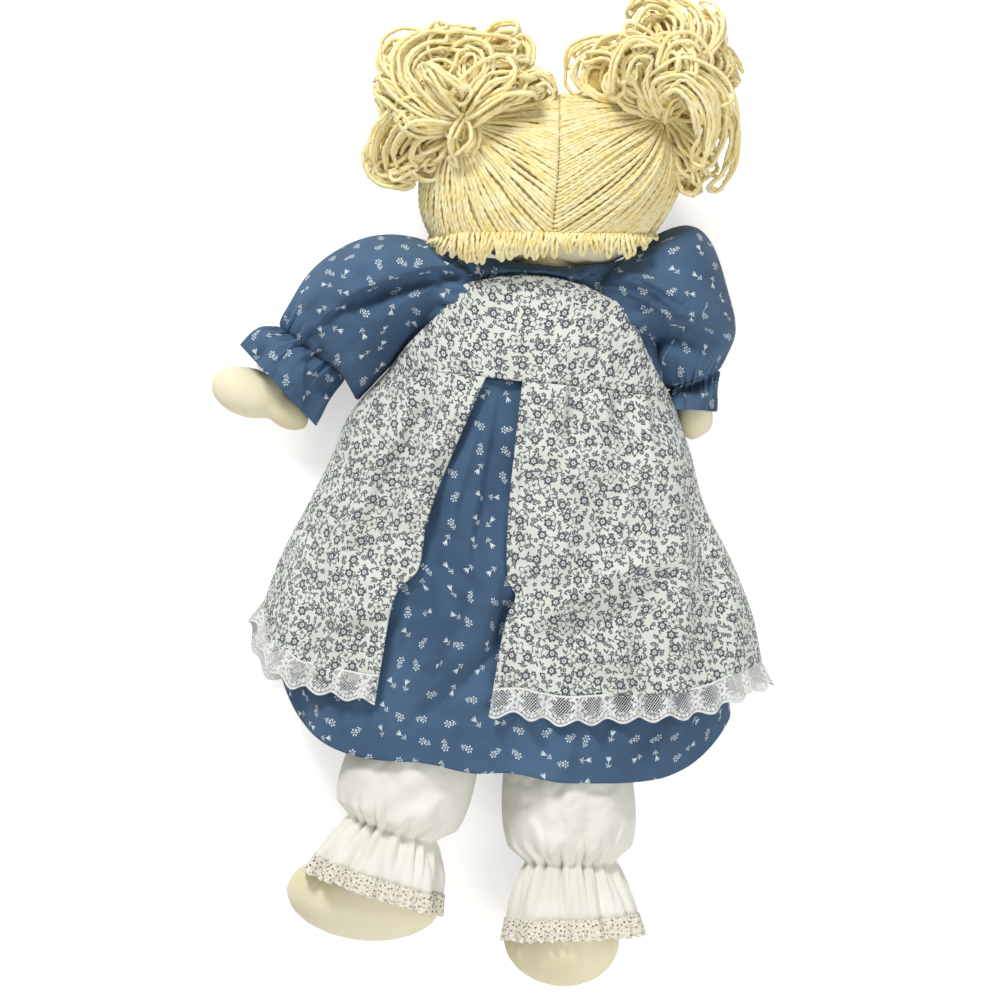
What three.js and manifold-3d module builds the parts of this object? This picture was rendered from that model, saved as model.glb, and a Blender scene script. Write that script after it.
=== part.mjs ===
// A stuffed rag doll with yarn pigtails, dress, pinafore and bloomers, lying face down.
// Millimetres. +Z is up, +Y is towards the crown, +X is towards the doll's right arm.
// The origin is the middle of the chest, on the flat where the pinafore front lies on the floor.
import * as THREE from "three";
import { mergeVertices } from "three/addons/utils/BufferGeometryUtils.js";
import Module from "manifold-3d";

const wasm = await Module();
wasm.setup();

// Cloth and gaps
const cloth = 1.2; // one layer of printed cotton with its turned edges
const ease = 0.6; // air between two layers that lie on each other
const seamGap = 0.35; // gap between two pieces that are sewn or pressed together
const restCut = 0.5; // depth of the flat pressed into what lies on the floor
const drape = 1.6; // air between the dress skirt and the pinafore skirt

// Body
const torsoHalfWidth = 48;
const torsoHalfDepth = 29;
const torsoTop = 22; // shoulder seam above the chest
const torsoBottom = 105; // bottom seam below the chest
const neckRadius = 15;
const neckBallRadius = 18;
const neckRise = 34; // pivot of the head above the chest

// Head and hair
const headHalfWidth = 68;
const headHalfHeight = 46;
const headHalfDepth = 41;
const headRise = 79; // middle of the head above the chest
const hairDepth = 5.5;
const fringeDrop = 11;
const fringeDepth = 7;
const tieRadius = 11;
const tieThickness = 3;
const rootRadius = 7; // yarn bundle where it passes through its tie

// Arms and sleeves
const shoulderRise = 14;
const armRootRadius = 13;
const armRadius = 15;
const armReach = 100; // unit of the arm and sleeve outlines
const thumbRadius = 8;
const sleeveHalfDepth = 30;
const sleeveHeight = 33;
const elasticWidth = 4;
const elasticThickness = 1;

// Legs and bloomers
const hipDrop = 127.5; // pivot of the legs below the chest
const hipHalfSpan = 28;
const legRootRadius = 22;
const legRadius = 22;
const legLength = 160; // hip pivot to ankle
const footHalfWidth = 27;
const bloomersHalfWidth = 37;
const bloomersHalfDepth = 27;
const bloomersHalfSpan = 29; // middle of a bloomers leg from the mid-line, at the seat
const seatTop = 56; // waist of the bloomers below the chest
const ankleLaceWidth = 9;
const laceThickness = 0.8;

// Dress and pinafore
const bodyHeight = 35; // height of the doll's mid-line over the floor
const waistDrop = 29; // waist seam below the chest
const dressLength = 214; // waist seam to hem, down the middle
const pinaforeLength = 166; // waist seam to the lace, down the middle
const laceWidth = 18;
const hemHalfWidth = 125;
const pinaforeFlare = 17; // how far the pinafore spreads past the dress at its hem
const skirtHeight = 67; // top of the skirt over the floor at the hem
const hemSideRise = 42; // how much higher the hem is at the sides
const foldDepth = 3.4;
const collarHalfWidth = 44;
const collarHalfDepth = 25;
const collarHeight = 11;
const collarFrill = 2.4;

const FULL_TURN = Math.PI * 2;
const { lerp, clamp } = THREE.MathUtils;
const point = (x, y, z) => new THREE.Vector3(x, y, z);

// Value beside a place in a table of [place, value, ...] rows, on a smooth curve through its rows.
function along(table, place, column = 1) {
  const last = table.length - 1;
  let i = 0;
  while (i < last - 1 && table[i + 1][0] < place) i += 1;
  const slope = (k) => {
    const low = table[Math.max(k - 1, 0)];
    const high = table[Math.min(k + 1, last)];
    return (high[column] - low[column]) / (high[0] - low[0]);
  };
  const span = table[i + 1][0] - table[i][0];
  const t = clamp((place - table[i][0]) / span, 0, 1);
  const rise = t * t * (3 - 2 * t);
  const lead = t * (1 - t) * (1 - t) * span * slope(i);
  const tail = t * t * (1 - t) * span * slope(i + 1);
  return lerp(table[i][column], table[i + 1][column], rise) + lead - tail;
}

// Indexed triangles as a geometry whose faces point outwards.
function closedGeometry(points, index) {
  const at = (k) => points[index[k]];
  let volume = 0;
  for (let k = 0; k < index.length; k += 3) {
    volume += at(k).dot(at(k + 1).clone().cross(at(k + 2)));
  }
  if (volume < 0) {
    for (let k = 0; k < index.length; k += 3) {
      [index[k], index[k + 1]] = [index[k + 1], index[k]];
    }
  }
  const geometry = new THREE.BufferGeometry().setFromPoints(points);
  geometry.setIndex(index);
  return geometry;
}

// A sheet of real thickness between an outer and an inner skin, each a function of row and column.
function sheetSolid(outer, inner, rows, columns, closed) {
  const wide = closed ? columns : columns + 1;
  const points = [];
  for (const skin of [outer, inner]) {
    for (let r = 0; r <= rows; r += 1) {
      for (let c = 0; c < wide; c += 1) points.push(skin(r, c));
    }
  }
  const at = (side, r, c) => (side * (rows + 1) + r) * wide + (closed ? c % columns : c);
  const index = [];
  const quad = (a, b, c, d) => index.push(a, b, c, a, c, d);
  for (let c = 0; c < columns; c += 1) {
    for (let r = 0; r < rows; r += 1) {
      quad(at(0, r, c), at(0, r, c + 1), at(0, r + 1, c + 1), at(0, r + 1, c));
      quad(at(1, r, c), at(1, r + 1, c), at(1, r + 1, c + 1), at(1, r, c + 1));
    }
    quad(at(0, 0, c), at(1, 0, c), at(1, 0, c + 1), at(0, 0, c + 1));
    quad(at(0, rows, c), at(0, rows, c + 1), at(1, rows, c + 1), at(1, rows, c));
  }
  for (let r = 0; r < rows && !closed; r += 1) {
    quad(at(0, r, 0), at(0, r + 1, 0), at(1, r + 1, 0), at(1, r, 0));
    quad(at(0, r, columns), at(1, r, columns), at(1, r + 1, columns), at(0, r + 1, columns));
  }
  return closedGeometry(points, index);
}

// A stuffed form: rings at the stations, closed by a tip at each end.
function stuffed(ring, tips, stations, columns) {
  const points = [];
  const index = [];
  for (const station of stations) {
    for (let c = 0; c < columns; c += 1) points.push(ring(station, (c / columns) * FULL_TURN));
  }
  const [first, last] = [points.push(tips[0]) - 1, points.push(tips[1]) - 1];
  const end = (stations.length - 1) * columns;
  for (let c = 0; c < columns; c += 1) {
    const next = (c + 1) % columns;
    index.push(first, next, c, last, end + c, end + next);
    for (let r = 0; r < stations.length - 1; r += 1) {
      const [low, high] = [r * columns, (r + 1) * columns];
      index.push(low + c, low + next, high + next, low + c, high + next, high + c);
    }
  }
  return closedGeometry(points, index);
}

// Stations from 0 to 1 that crowd towards two round ends, which take the given shares of the length.
function stationShares(startShare, endShare, domeBands, bands) {
  const angles = Array.from({ length: domeBands + 1 }, (_, i) => (i + 0.5) / (domeBands + 0.5));
  const dome = angles.map((a) => 1 - Math.cos((a * Math.PI) / 2));
  const start = dome.map((d) => d * startShare);
  const end = dome.map((d) => 1 - d * endShare).reverse();
  const middle = [];
  for (let i = 1; i < bands; i += 1) middle.push(lerp(startShare, 1 - endShare, i / bands));
  return [...start, ...middle, ...end];
}

// How round ends draw a form in, as a share of its full width.
function domeShare(t, startShare, endShare) {
  const start = t < startShare ? 1 - t / startShare : 0;
  const end = t > 1 - endShare ? 1 - (1 - t) / endShare : 0;
  return Math.sqrt(Math.max(0, 1 - Math.max(start, end) ** 2));
}

// Manifold solids, to join and cut.
function solidOf(geometry) {
  const bare = new THREE.BufferGeometry();
  bare.setAttribute("position", geometry.getAttribute("position").clone());
  if (geometry.index) bare.setIndex(geometry.index.clone());
  const merged = mergeVertices(bare, 1e-4);
  return new wasm.Manifold(
    new wasm.Mesh({
      numProp: 3,
      vertProperties: merged.getAttribute("position").array,
      triVerts: new Uint32Array(merged.index.array),
    }),
  );
}

function geometryOf(solid) {
  const mesh = solid.getMesh();
  const geometry = new THREE.BufferGeometry();
  geometry.setAttribute("position", new THREE.BufferAttribute(mesh.vertProperties.slice(), 3));
  geometry.setIndex([...mesh.triVerts]);
  return geometry;
}

const joined = (a, b) => geometryOf(solidOf(a).add(solidOf(b)));
const cutBy = (a, ...tools) =>
  geometryOf(tools.reduce((solid, tool) => solid.subtract(solidOf(tool)), solidOf(a)));

const pressed = (p, floor = 0) => p.setZ(Math.max(p.z, floor));
const ball = (centre, x, y, z, around = 20, down = 12) =>
  new THREE.SphereGeometry(1, around, down).scale(x, y, z).translate(centre.x, centre.y, centre.z);

// Torso: half-width and half-depth as shares, from the shoulder seam to the bottom seam.
const torsoLength = torsoTop + torsoBottom;
const torsoShares = [
  [0, 0.9, 0.8],
  [0.14, 0.97, 0.95],
  [0.4, 1, 1],
  [0.62, 0.97, 0.96],
  [0.85, 1.02, 0.94],
  [1, 1, 0.9],
];
const torsoDomeShare = 0.1;

function torsoPoint(t, angle, off = 0) {
  const dome = domeShare(t, torsoDomeShare, torsoDomeShare);
  const x = (torsoHalfWidth * along(torsoShares, t) * dome + off) * Math.cos(angle);
  const z = (torsoHalfDepth * along(torsoShares, t, 2) * dome + off) * Math.sin(angle);
  return point(x, torsoTop - t * torsoLength, bodyHeight + z);
}

// Where the side of the torso is at a height above the chest.
function torsoSide(rise) {
  return torsoPoint((torsoTop - rise) / torsoLength, 0).x;
}

const neckPivot = point(0, neckRise, headHalfDepth - restCut);
const hipPivots = [-1, 1].map((side) => point(side * hipHalfSpan, -hipDrop, bodyHeight));

// The torso is hollowed where the round tops of the arms and legs seat.
function torso() {
  const tips = [point(0, torsoTop, bodyHeight), point(0, -torsoBottom, bodyHeight)];
  const stations = stationShares(torsoDomeShare, torsoDomeShare, 3, 5);
  const body = stuffed(torsoPoint, tips, stations, 24);
  const neckLength = neckRise + torsoHalfDepth;
  const neck = new THREE.CylinderGeometry(neckRadius, neckRadius, neckLength, 18);
  neck.translate(0, neckRise - neckLength / 2, neckPivot.z);
  const knob = ball(neckPivot, neckBallRadius, neckBallRadius, neckBallRadius, 18, 10);
  const round = (p, radius) => ball(p, radius, radius, radius, 16, 10);
  const hips = hipPivots.map((p) => round(p, legRootRadius + seamGap));
  const seats = Object.values(shoulders).map((p) => round(p, armRootRadius + seamGap));
  return cutBy(joined(joined(body, neck), knob), ...hips, ...seats);
}

// Head: a cushion-round ball, pressed flat on the face where it lies on the floor.
const headCentre = point(0, headRise, headHalfDepth - restCut);
const headPole = 0.12; // how far the head's rings stay from its poles, in radians

// Longitude runs round the crown from the back, latitude from the crown to the neck.
function headPoint(latitude, longitude, off = 0) {
  const round = Math.sin(latitude);
  const full = Math.sign(Math.sin(longitude)) * Math.abs(Math.sin(longitude)) ** 0.9;
  const x = -(headHalfWidth + off) * round * full;
  const y = (headHalfHeight + off) * Math.cos(latitude);
  const z = (headHalfDepth + off) * round * Math.cos(longitude);
  return point(headCentre.x + x, headCentre.y + y, headCentre.z + z);
}

function headBall(off = 0) {
  const stations = Array.from({ length: headBands + 1 }, (_, i) => i / headBands);
  const ring = (t, angle) => pressed(headPoint(bandLatitude(t * headBands), angle, off));
  return stuffed(ring, [headPoint(0, 0, off), headPoint(Math.PI, 0, off)], stations, headColumns);
}

function head() {
  const radius = neckBallRadius + seamGap;
  const socket = ball(neckPivot, radius, radius, radius, 18, 12);
  const throatShare = 1.16; // throat of the socket over the neck's radius
  const throat = new THREE.CylinderGeometry(radius, neckRadius * throatShare, neckBallRadius, 18);
  throat.translate(0, neckPivot.y - neckBallRadius / 2, neckPivot.z);
  return cutBy(headBall(), socket, throat);
}

// Hair: yarn laid over the head, on the head's own rings and columns so that it keeps its distance.
const headBands = 12;
const headColumns = 24;
const napeBand = 9;
const hairLineBand = 4;
const bandLatitude = (band) => lerp(headPole, Math.PI - headPole, band / headBands);
const columnLongitude = (column) => (column / headColumns) * FULL_TURN;

function hairPatch(bands, columns) {
  const at = (r, c, off) => pressed(headPoint(bandLatitude(r), columnLongitude(columns[c]), off));
  const outer = (r, c) => at(r, c, seamGap + hairDepth);
  const inner = (r, c) => at(r, c, seamGap);
  return sheetSolid(outer, inner, bands, columns.length - 1, false);
}

// The back hair is sewn down the parting and runs to the side seams.
const quarter = headColumns / 4;
const partingShare = 0.1; // half the parting, as a share of a column
const run = (from, to) => Array.from({ length: to - from + 1 }, (_, i) => from + i);

function hairBack(side) {
  const columns = [partingShare, ...run(1, quarter - 1), quarter - partingShare];
  return hairPatch(napeBand, columns.map((c) => side * c));
}

// The front hair stops at the hair line, over the forehead.
function hairFront() {
  const [from, to] = [quarter, 3 * quarter];
  const columns = [from + partingShare, ...run(from + 1, to - 1), to - partingShare];
  return hairPatch(hairLineBand, columns);
}

// Nape fringe: the row of short loops under the back hair.
function napeFringe() {
  const rows = 2;
  const columns = run(1 - quarter, quarter - 1);
  const at = (r, c, off) => {
    const edge = headPoint(bandLatitude(napeBand), columnLongitude(columns[c]), seamGap + off);
    return edge.add(point(0, -(r / rows) * fringeDrop - seamGap, 0));
  };
  const outer = (r, c) => at(r, c, fringeDepth);
  const inner = (r, c) => at(r, c, ease);
  return sheetSolid(outer, inner, rows, columns.length - 1, false);
}

// Pigtail roots sit on the back of the head; places are shares of the head's half-sizes.
const rootShares = { left: [-0.63, 0.45], right: [0.72, 0.82] };
const leastDeepShare = 0.2; // a root on the rim of the head still faces the back

function hairRoot(name) {
  const [across, up] = rootShares[name];
  const deep = Math.sqrt(Math.max(leastDeepShare ** 2, 1 - across ** 2 - up ** 2));
  const latitude = Math.atan2(Math.hypot(across, deep), up);
  const longitude = Math.atan2(-across, deep);
  const place = headPoint(latitude, longitude, seamGap + hairDepth);
  const normal = place.clone().sub(headPoint(latitude, longitude)).normalize();
  return { place, normal };
}

// The tie is a ring of yarn wound round the bundle, standing on the hair.
function hairTie(name) {
  const { place, normal } = hairRoot(name);
  const ring = new THREE.TorusGeometry(tieRadius - tieThickness / 2, tieThickness / 2, 5, 12);
  ring.applyQuaternion(new THREE.Quaternion().setFromUnitVectors(point(0, 0, 1), normal));
  const lift = tieThickness / 2 + ease;
  ring.translate(...place.clone().addScaledVector(normal, lift));
  return cutBy(ring, hairEnvelope(seamGap));
}

// The head with its hair, grown by a gap: what lies on the hair is cut by it.
const hairEnvelope = (gap) => headBall(seamGap + hairDepth + gap);

// Pigtails: loose bundles of loops, as places and half-sizes in shares of the head's half-width.
const pigtailShares = {
  left: { middle: [-0.86, 0.5, 0.33], size: [0.66, 0.6, 0.5], lean: 0.1 },
  right: { middle: [0.7, 0.83, 0.3], size: [0.6, 0.74, 0.5], lean: -0.25 },
};

const stubShare = 2.6; // length of the bundle's root over the tie's radius

function pigtail(name) {
  const { middle, size, lean } = pigtailShares[name];
  const { place, normal } = hairRoot(name);
  const centre = point(middle[0], middle[1], middle[2]).multiplyScalar(headHalfWidth).add(headCentre);
  const half = point(size[0], size[1], size[2]).multiplyScalar(headHalfWidth);
  const [down, around] = [10, 16];
  const [broadShare, fineShare] = [0.05, 0.03]; // how far the loops stand out in lumps
  const broad = (a, b) => broadShare * Math.sin(3 * a + 1) * Math.sin(4 * b);
  const lump = (a, b) => 1 + broad(a, b) + fineShare * Math.sin(7 * a);
  const ring = (t, angle) => {
    const latitude = lerp(headPole, Math.PI - headPole, t);
    const swell = Math.sin(latitude) * lump(angle, latitude);
    const p = point(
      half.x * swell * Math.cos(angle),
      half.y * Math.cos(latitude),
      half.z * swell * Math.sin(angle),
    );
    p.applyAxisAngle(point(0, 0, 1), lean);
    return pressed(p.add(centre));
  };
  const stations = Array.from({ length: down + 1 }, (_, i) => i / down);
  const poles = [ring(0, 0).lerp(ring(0, Math.PI), 0.5), ring(1, 0).lerp(ring(1, Math.PI), 0.5)];
  const bundle = stuffed(ring, poles, stations, around);
  const drum = (radius, length, lift) => {
    const geometry = new THREE.CylinderGeometry(radius, radius, length, 14).rotateX(Math.PI / 2);
    geometry.applyQuaternion(new THREE.Quaternion().setFromUnitVectors(point(0, 0, 1), normal));
    return solidOf(geometry.translate(...place.clone().addScaledVector(normal, lift)));
  };
  const stub = drum(rootRadius, tieRadius * stubShare, tieRadius);
  const tie = drum(tieRadius + ease, tieRadius, tieThickness / 2);
  const loose = solidOf(bundle).subtract(tie).add(stub);
  return geometryOf(loose.subtract(solidOf(hairEnvelope(seamGap))));
}

const curveOf = (places) => new THREE.CatmullRomCurve3(places, false, "centripetal");

// A limb is a stuffed tube along a curve, with shares of its radius along it.
function limbOf(places, radius, swellShares, rootShare, tipShare, wideShare = 1, deepShare = 1) {
  const curve = curveOf(places);
  const up = point(0, 0, 1);
  return (t, angle, off = 0) => {
    const tangent = curve.getTangentAt(clamp(t, 0, 1));
    const side = tangent.clone().cross(up).normalize();
    const lift = side.clone().cross(tangent);
    const size = radius * along(swellShares, t) * domeShare(t, rootShare, tipShare) + off;
    const middle = curve.getPointAt(clamp(t, 0, 1));
    const past = clamp(t / rootShare - 1, 0, 1);
    middle.addScaledVector(side, size * lerp(1, wideShare, past) * Math.cos(angle));
    return pressed(middle.addScaledVector(lift, size * lerp(1, deepShare, past) * Math.sin(angle)));
  };
}

const shoulderX = torsoSide(shoulderRise) + seamGap + armRootRadius;
const shoulders = { left: point(-shoulderX, shoulderRise, bodyHeight) };
shoulders.right = point(shoulderX, shoulderRise, bodyHeight);

// Places of the arms and sleeves, as shares of the arm's reach from the shoulder: out, up, height.
const armShares = {
  left: [
    [0.3, -0.06, 0.28],
    [0.64, -0.35, 0.21],
    [0.88, -0.59, 0.155],
    [1.05, -0.66, 0.115],
    [1.18, -0.67, 0.105],
  ],
  right: [
    [0.22, 0.12, 0.31],
    [0.36, 0.02, 0.25],
    [0.36, -0.2, 0.17],
    [0.355, -0.4, 0.158],
    [0.355, -0.54, 0.14],
    [0.355, -0.64, 0.13],
  ],
};
const armSwellShares = [
  [0, 0.82],
  [0.12, 0.84],
  [0.35, 0.98],
  [0.6, 0.8],
  [0.72, 0.74],
  [0.86, 0.98],
  [1, 0.9],
];
const handShares = { left: [1, 0.84], right: [0.7, 0.86] }; // how wide and how deep each arm lies
const thumbShares = { left: [0.79, -0.84, 0.1], right: [0.42, -0.6, 0.1] };
const palmShare = 0.82;
const handDomeShare = 0.9; // length of the hand's round end over the arm's radius

const armSide = (name) => (name === "left" ? -1 : 1);

function armPlace(name, [out, up, height]) {
  const shoulder = shoulders[name];
  const x = shoulder.x + armSide(name) * out * armReach;
  return point(x, shoulder.y + up * armReach, height * armReach);
}

// The round top of the arm is a ball about the shoulder, so it turns in its seat.
function armCurve(name) {
  const places = armShares[name].map((shares) => armPlace(name, shares));
  const shoulder = shoulders[name];
  const lead = places[0].clone().sub(shoulder).normalize();
  const top = shoulder.clone().addScaledVector(lead, -armRootRadius);
  return [top, shoulder, ...places];
}

function arm(name) {
  const places = armCurve(name);
  const length = curveOf(places).getLength();
  const [rootShare, tipShare] = [armRootRadius / length, (armRadius * handDomeShare) / length];
  const ring = limbOf(places, armRadius, armSwellShares, rootShare, tipShare, ...handShares[name]);
  const stations = stationShares(rootShare, tipShare, 3, 8);
  const body = stuffed(ring, [places[0], places[places.length - 1]], stations, 14);
  const palm = curveOf(places).getPointAt(palmShare);
  const tip = armPlace(name, thumbShares[name]);
  const endShare = thumbRadius / tip.distanceTo(palm);
  const thumbRing = limbOf([palm, tip], thumbRadius, [[0, 1], [1, 1]], endShare, endShare);
  const thumbStations = stationShares(endShare, endShare, 3, 2);
  const thumb = stuffed(thumbRing, [palm, tip], thumbStations, 10);
  return joined(body, thumb);
}

// A loose tube between an inner and an outer outline, round a limb.
// Rows of a table hold: inner out and up, outer out and up, half-depth, height, all as shares.
const sleeveShares = {
  left: [
    [0, -0.07, -0.2, -0.05, 0.2, 0.8, 1.03],
    [0.16, 0.1, -0.25, 0.1, 0.27, 0.95, 0.96],
    [0.34, 0.27, -0.45, 0.32, 0.3, 1, 0.94],
    [0.5, 0.38, -0.57, 0.56, 0.14, 0.92, 0.86],
    [0.62, 0.46, -0.57, 0.72, -0.04, 0.76, 0.7],
    [0.72, 0.505, -0.5, 0.815, -0.235, 0.56, 0.56],
    [0.76, 0.525, -0.505, 0.83, -0.26, 0.54, 0.53],
    [0.84, 0.55, -0.62, 0.93, -0.28, 0.62, 0.52],
    [1, 0.58, -0.79, 1.04, -0.42, 0.68, 0.52],
  ],
  right: [
    [0, -0.07, -0.2, -0.05, 0.2, 0.8, 1.03],
    [0.16, 0.09, -0.21, 0.14, 0.32, 0.95, 0.96],
    [0.34, 0.15, -0.22, 0.33, 0.48, 1, 0.94],
    [0.5, 0.18, -0.22, 0.48, 0.3, 0.92, 0.86],
    [0.62, 0.19, -0.22, 0.51, 0.04, 0.76, 0.7],
    [0.72, 0.19, -0.22, 0.48, -0.13, 0.56, 0.56],
    [0.76, 0.19, -0.25, 0.475, -0.16, 0.54, 0.53],
    [0.84, 0.2, -0.32, 0.48, -0.29, 0.6, 0.52],
    [1, 0.225, -0.43, 0.485, -0.43, 0.64, 0.52],
  ],
};
const gatherShare = 0.74; // where the elastic draws the sleeve in
const sleeveFolds = 5;
const tubeColumns = 20; // columns round a sleeve or a leg of the bloomers
const sleeveFoldDepth = 2;
const calmShare = 0.35; // depth of the folds where the cloth isn't drawn in
const seamShare = 0.16; // folds fade out on this stretch before a seam

function sleevePoint(name, t, angle, off = 0, floor = 0) {
  const row = (column) => along(sleeveShares[name], t, column);
  const shoulder = shoulders[name];
  const side = armSide(name);
  const inner = point(shoulder.x + side * row(1) * armReach, shoulder.y + row(2) * armReach, 0);
  const outer = point(shoulder.x + side * row(3) * armReach, shoulder.y + row(4) * armReach, 0);
  const middle = inner.clone().lerp(outer, 0.5);
  const across = outer.clone().sub(inner);
  const half = across.length() / 2;
  across.normalize();
  const frill = t > gatherShare ? (t - gatherShare) / (1 - gatherShare) : 0;
  const fold = sleeveFoldDepth * Math.cos(sleeveFolds * angle) * lerp(calmShare, 1, frill);
  const grown = off + fold * clamp(t / seamShare, 0, 1);
  middle.addScaledVector(across, (half + grown) * Math.cos(angle));
  const height = sleeveHeight * row(6);
  middle.z = height + (sleeveHalfDepth * row(5) + grown) * Math.sin(angle);
  return pressed(middle, floor);
}

function sleeve(name) {
  const placeShares = [0, 0.09, 0.18, 0.28, 0.39, 0.5, 0.6, 0.67, 0.72, 0.76, 0.84, 0.92, 1];
  const turn = (c) => (c / tubeColumns) * FULL_TURN;
  const at = (r, c, off, floor) => sleevePoint(name, placeShares[r], turn(c), off, floor);
  const outer = (r, c) => at(r, c, 0, 0);
  const inner = (r, c) => at(r, c, -cloth, cloth);
  return sheetSolid(outer, inner, placeShares.length - 1, tubeColumns, true);
}

// The elastic lies inside the sleeve at the gather.
function cuffElastic(name) {
  const length = armReach;
  const at = (r, c, off, floor) => {
    const t = gatherShare + ((r - 0.5) * elasticWidth) / length;
    return sleevePoint(name, t, (c / tubeColumns) * FULL_TURN, off, floor);
  };
  const outerOff = -cloth - seamGap;
  const innerOff = outerOff - elasticThickness;
  const outerFloor = cloth + seamGap;
  const outer = (r, c) => at(r, c, outerOff, outerFloor);
  const inner = (r, c) => at(r, c, innerOff, outerFloor + elasticThickness);
  return sheetSolid(outer, inner, 1, tubeColumns, true);
}

// Dress: half-width, top and side height at a share of the way from the shoulder to the hem.
const dressTop = torsoTop - cloth;
const hemDrop = waistDrop + dressLength;
const robeLength = dressTop + hemDrop;
const robeShares = [
  [0, 0.375, 0.98, 1],
  [0.06, 0.425, 1, 1],
  [0.12, 0.49, 1.01, 0.98],
  [0.19, 0.59, 1.02, 0.94],
  [0.3, 0.69, 1.055, 0.83],
  [0.44, 0.78, 1.05, 0.67],
  [0.62, 0.88, 1.01, 0.48],
  [0.8, 0.96, 0.99, 0.36],
  [1, 1, 0.97, 0.3],
];
const robeColumns = 48;
const robeTop = bodyHeight + torsoHalfDepth + ease + cloth;
const foldCounts = [9, 5];
const broadFoldShare = 0.6;
const foldStartShare = 0.22; // the folds start a little below the waist
const tuckPowers = [1.3, 0.6]; // how the under side turns in, at the shoulder and at the hem

// One smooth surface serves the bodices and both skirts, each at its own distance from it.
function robeSurface(t, angle, off, flare) {
  const a = hemHalfWidth * along(robeShares, t) + off + flare;
  const level = bodyHeight * along(robeShares, t, 3);
  const top = lerp(robeTop, skirtHeight, t) * along(robeShares, t, 2) - level + off;
  const upper = Math.sin(angle) > 0;
  const tuck = lerp(...tuckPowers, t);
  const spread = upper ? Math.sin(angle) : -(Math.abs(Math.sin(angle)) ** tuck);
  const waist = clamp((t - foldStartShare) / (1 - foldStartShare), 0, 1);
  const [fine, broad] = foldCounts.map((count, i) => Math.cos(count * angle + i + 1));
  const wave = fine + broadFoldShare * broad;
  const fold = upper ? foldDepth * waist * wave * Math.sin(angle) : 0;
  const depth = upper ? top + fold : level + off;
  const sideRise = hemSideRise * Math.abs(Math.cos(angle)) ** 6;
  const drop = t * robeLength - sideRise * waist ** 2;
  return point(a * Math.cos(angle), dressTop - drop, level + depth * spread);
}

// The surface between two neighbouring columns is flat, so layers keep their distance.
function robePoint(t, column, off, floor, flare = 0) {
  const low = Math.floor(column);
  const at = (c) => robeSurface(t, ((c % robeColumns) / robeColumns) * FULL_TURN, off, flare);
  return pressed(at(low).lerp(at(low + 1), column - low), floor);
}

const waistShare = (dressTop + waistDrop) / robeLength;
const bodiceGap = seamGap / robeLength / 2;
const dressFloor = cloth + seamGap;

// Armholes are cut round the shoulders, wide enough for the sleeves.
const armholeTallShare = 0.27;
const armholeDeepShare = 0.86;

function armholes(grow) {
  const tall = armReach * armholeTallShare + grow;
  const deep = sleeveHalfDepth * armholeDeepShare + grow;
  const length = hemHalfWidth;
  return ["left", "right"].map((name) => {
    const hole = new THREE.CylinderGeometry(1, 1, length, 20).rotateZ(Math.PI / 2);
    hole.scale(1, tall, deep);
    const x = torsoSide(shoulderRise) + seamGap + length / 2 - armRootRadius / 2;
    return hole.translate(armSide(name) * x, shoulderRise, bodyHeight);
  });
}

const yokeTopShare = 0.035; // the pinafore starts this far down the dress

function bodice(offOuter, floor, topShare) {
  const rows = 4;
  const at = (r, c, off, low) => robePoint(lerp(topShare, waistShare - bodiceGap, r / rows), c, off, low);
  const outer = (r, c) => at(r, c, offOuter, floor);
  const inner = (r, c) => at(r, c, offOuter - cloth, floor + cloth);
  return sheetSolid(outer, inner, rows, robeColumns, true);
}

const dressBodice = () => cutBy(bodice(0, dressFloor, 0), ...armholes(0));
const pinaforeBodice = () => cutBy(bodice(ease + cloth, 0, yokeTopShare), ...armholes(ease + cloth));

function dressSkirt() {
  const rows = 7;
  const at = (r, c, off, low) => robePoint(lerp(waistShare + bodiceGap, 1, r / rows), c, off, low);
  const outer = (r, c) => at(r, c, 0, dressFloor);
  const inner = (r, c) => at(r, c, -cloth, dressFloor + cloth);
  return sheetSolid(outer, inner, rows, robeColumns, true);
}

// Pinafore: how it spreads past the dress, and the two edges of its open back, by place down the skirt.
const pinaforeEnd = waistShare + pinaforeLength / robeLength;
const laceEnd = waistShare + (pinaforeLength + laceWidth) / robeLength;
const flareShares = [[0, 0], [0.2, 0.14], [0.45, 0.34], [0.75, 0.66], [1, 1]];
const rightEdgeShares = [[0, -0.05], [0.25, -0.05], [0.5, -0.04], [0.63, 0.01], [0.8, -0.02], [1, -0.05]];
const leftEdgeShares = [[0, -0.21], [0.25, -0.32], [0.5, -0.41], [0.63, -0.49], [0.8, -0.52], [1, -0.52]];
const pinaforeColumns = 43;
const laceWaveColumns = 2.5;

// Column of the shared surface where it is a given distance across, on the doll's back.
function columnAcross(t, across) {
  const half = robeSurface(t, 0, 0, 0).x;
  return (Math.acos(clamp(across / half, -1, 1)) / FULL_TURN) * robeColumns;
}

function pinaforePoint(t, c, off, floor) {
  const down = (t - waistShare) / (laceEnd - waistShare);
  const flare = pinaforeFlare * along(flareShares, down);
  const right = columnAcross(t, hemHalfWidth * along(rightEdgeShares, down));
  const left = columnAcross(t, hemHalfWidth * along(leftEdgeShares, down));
  const first = right + robeColumns;
  const column = c === 0 ? first : c === pinaforeColumns ? left : Math.ceil(right - 1) + robeColumns - c;
  return robePoint(t, column, off, floor, flare);
}

function pinaforeSheet(from, to, rows, thickness, frill) {
  const base = drape;
  const at = (r, c, off, low) => {
    const wave = frill * (r / rows) * Math.cos((c * FULL_TURN) / laceWaveColumns);
    return pinaforePoint(lerp(from, to, r / rows), c, off + Math.max(wave, 0), low);
  };
  const outer = (r, c) => at(r, c, base + thickness, 0);
  const inner = (r, c) => at(r, c, base, thickness);
  return sheetSolid(outer, inner, rows, pinaforeColumns, false);
}

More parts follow.
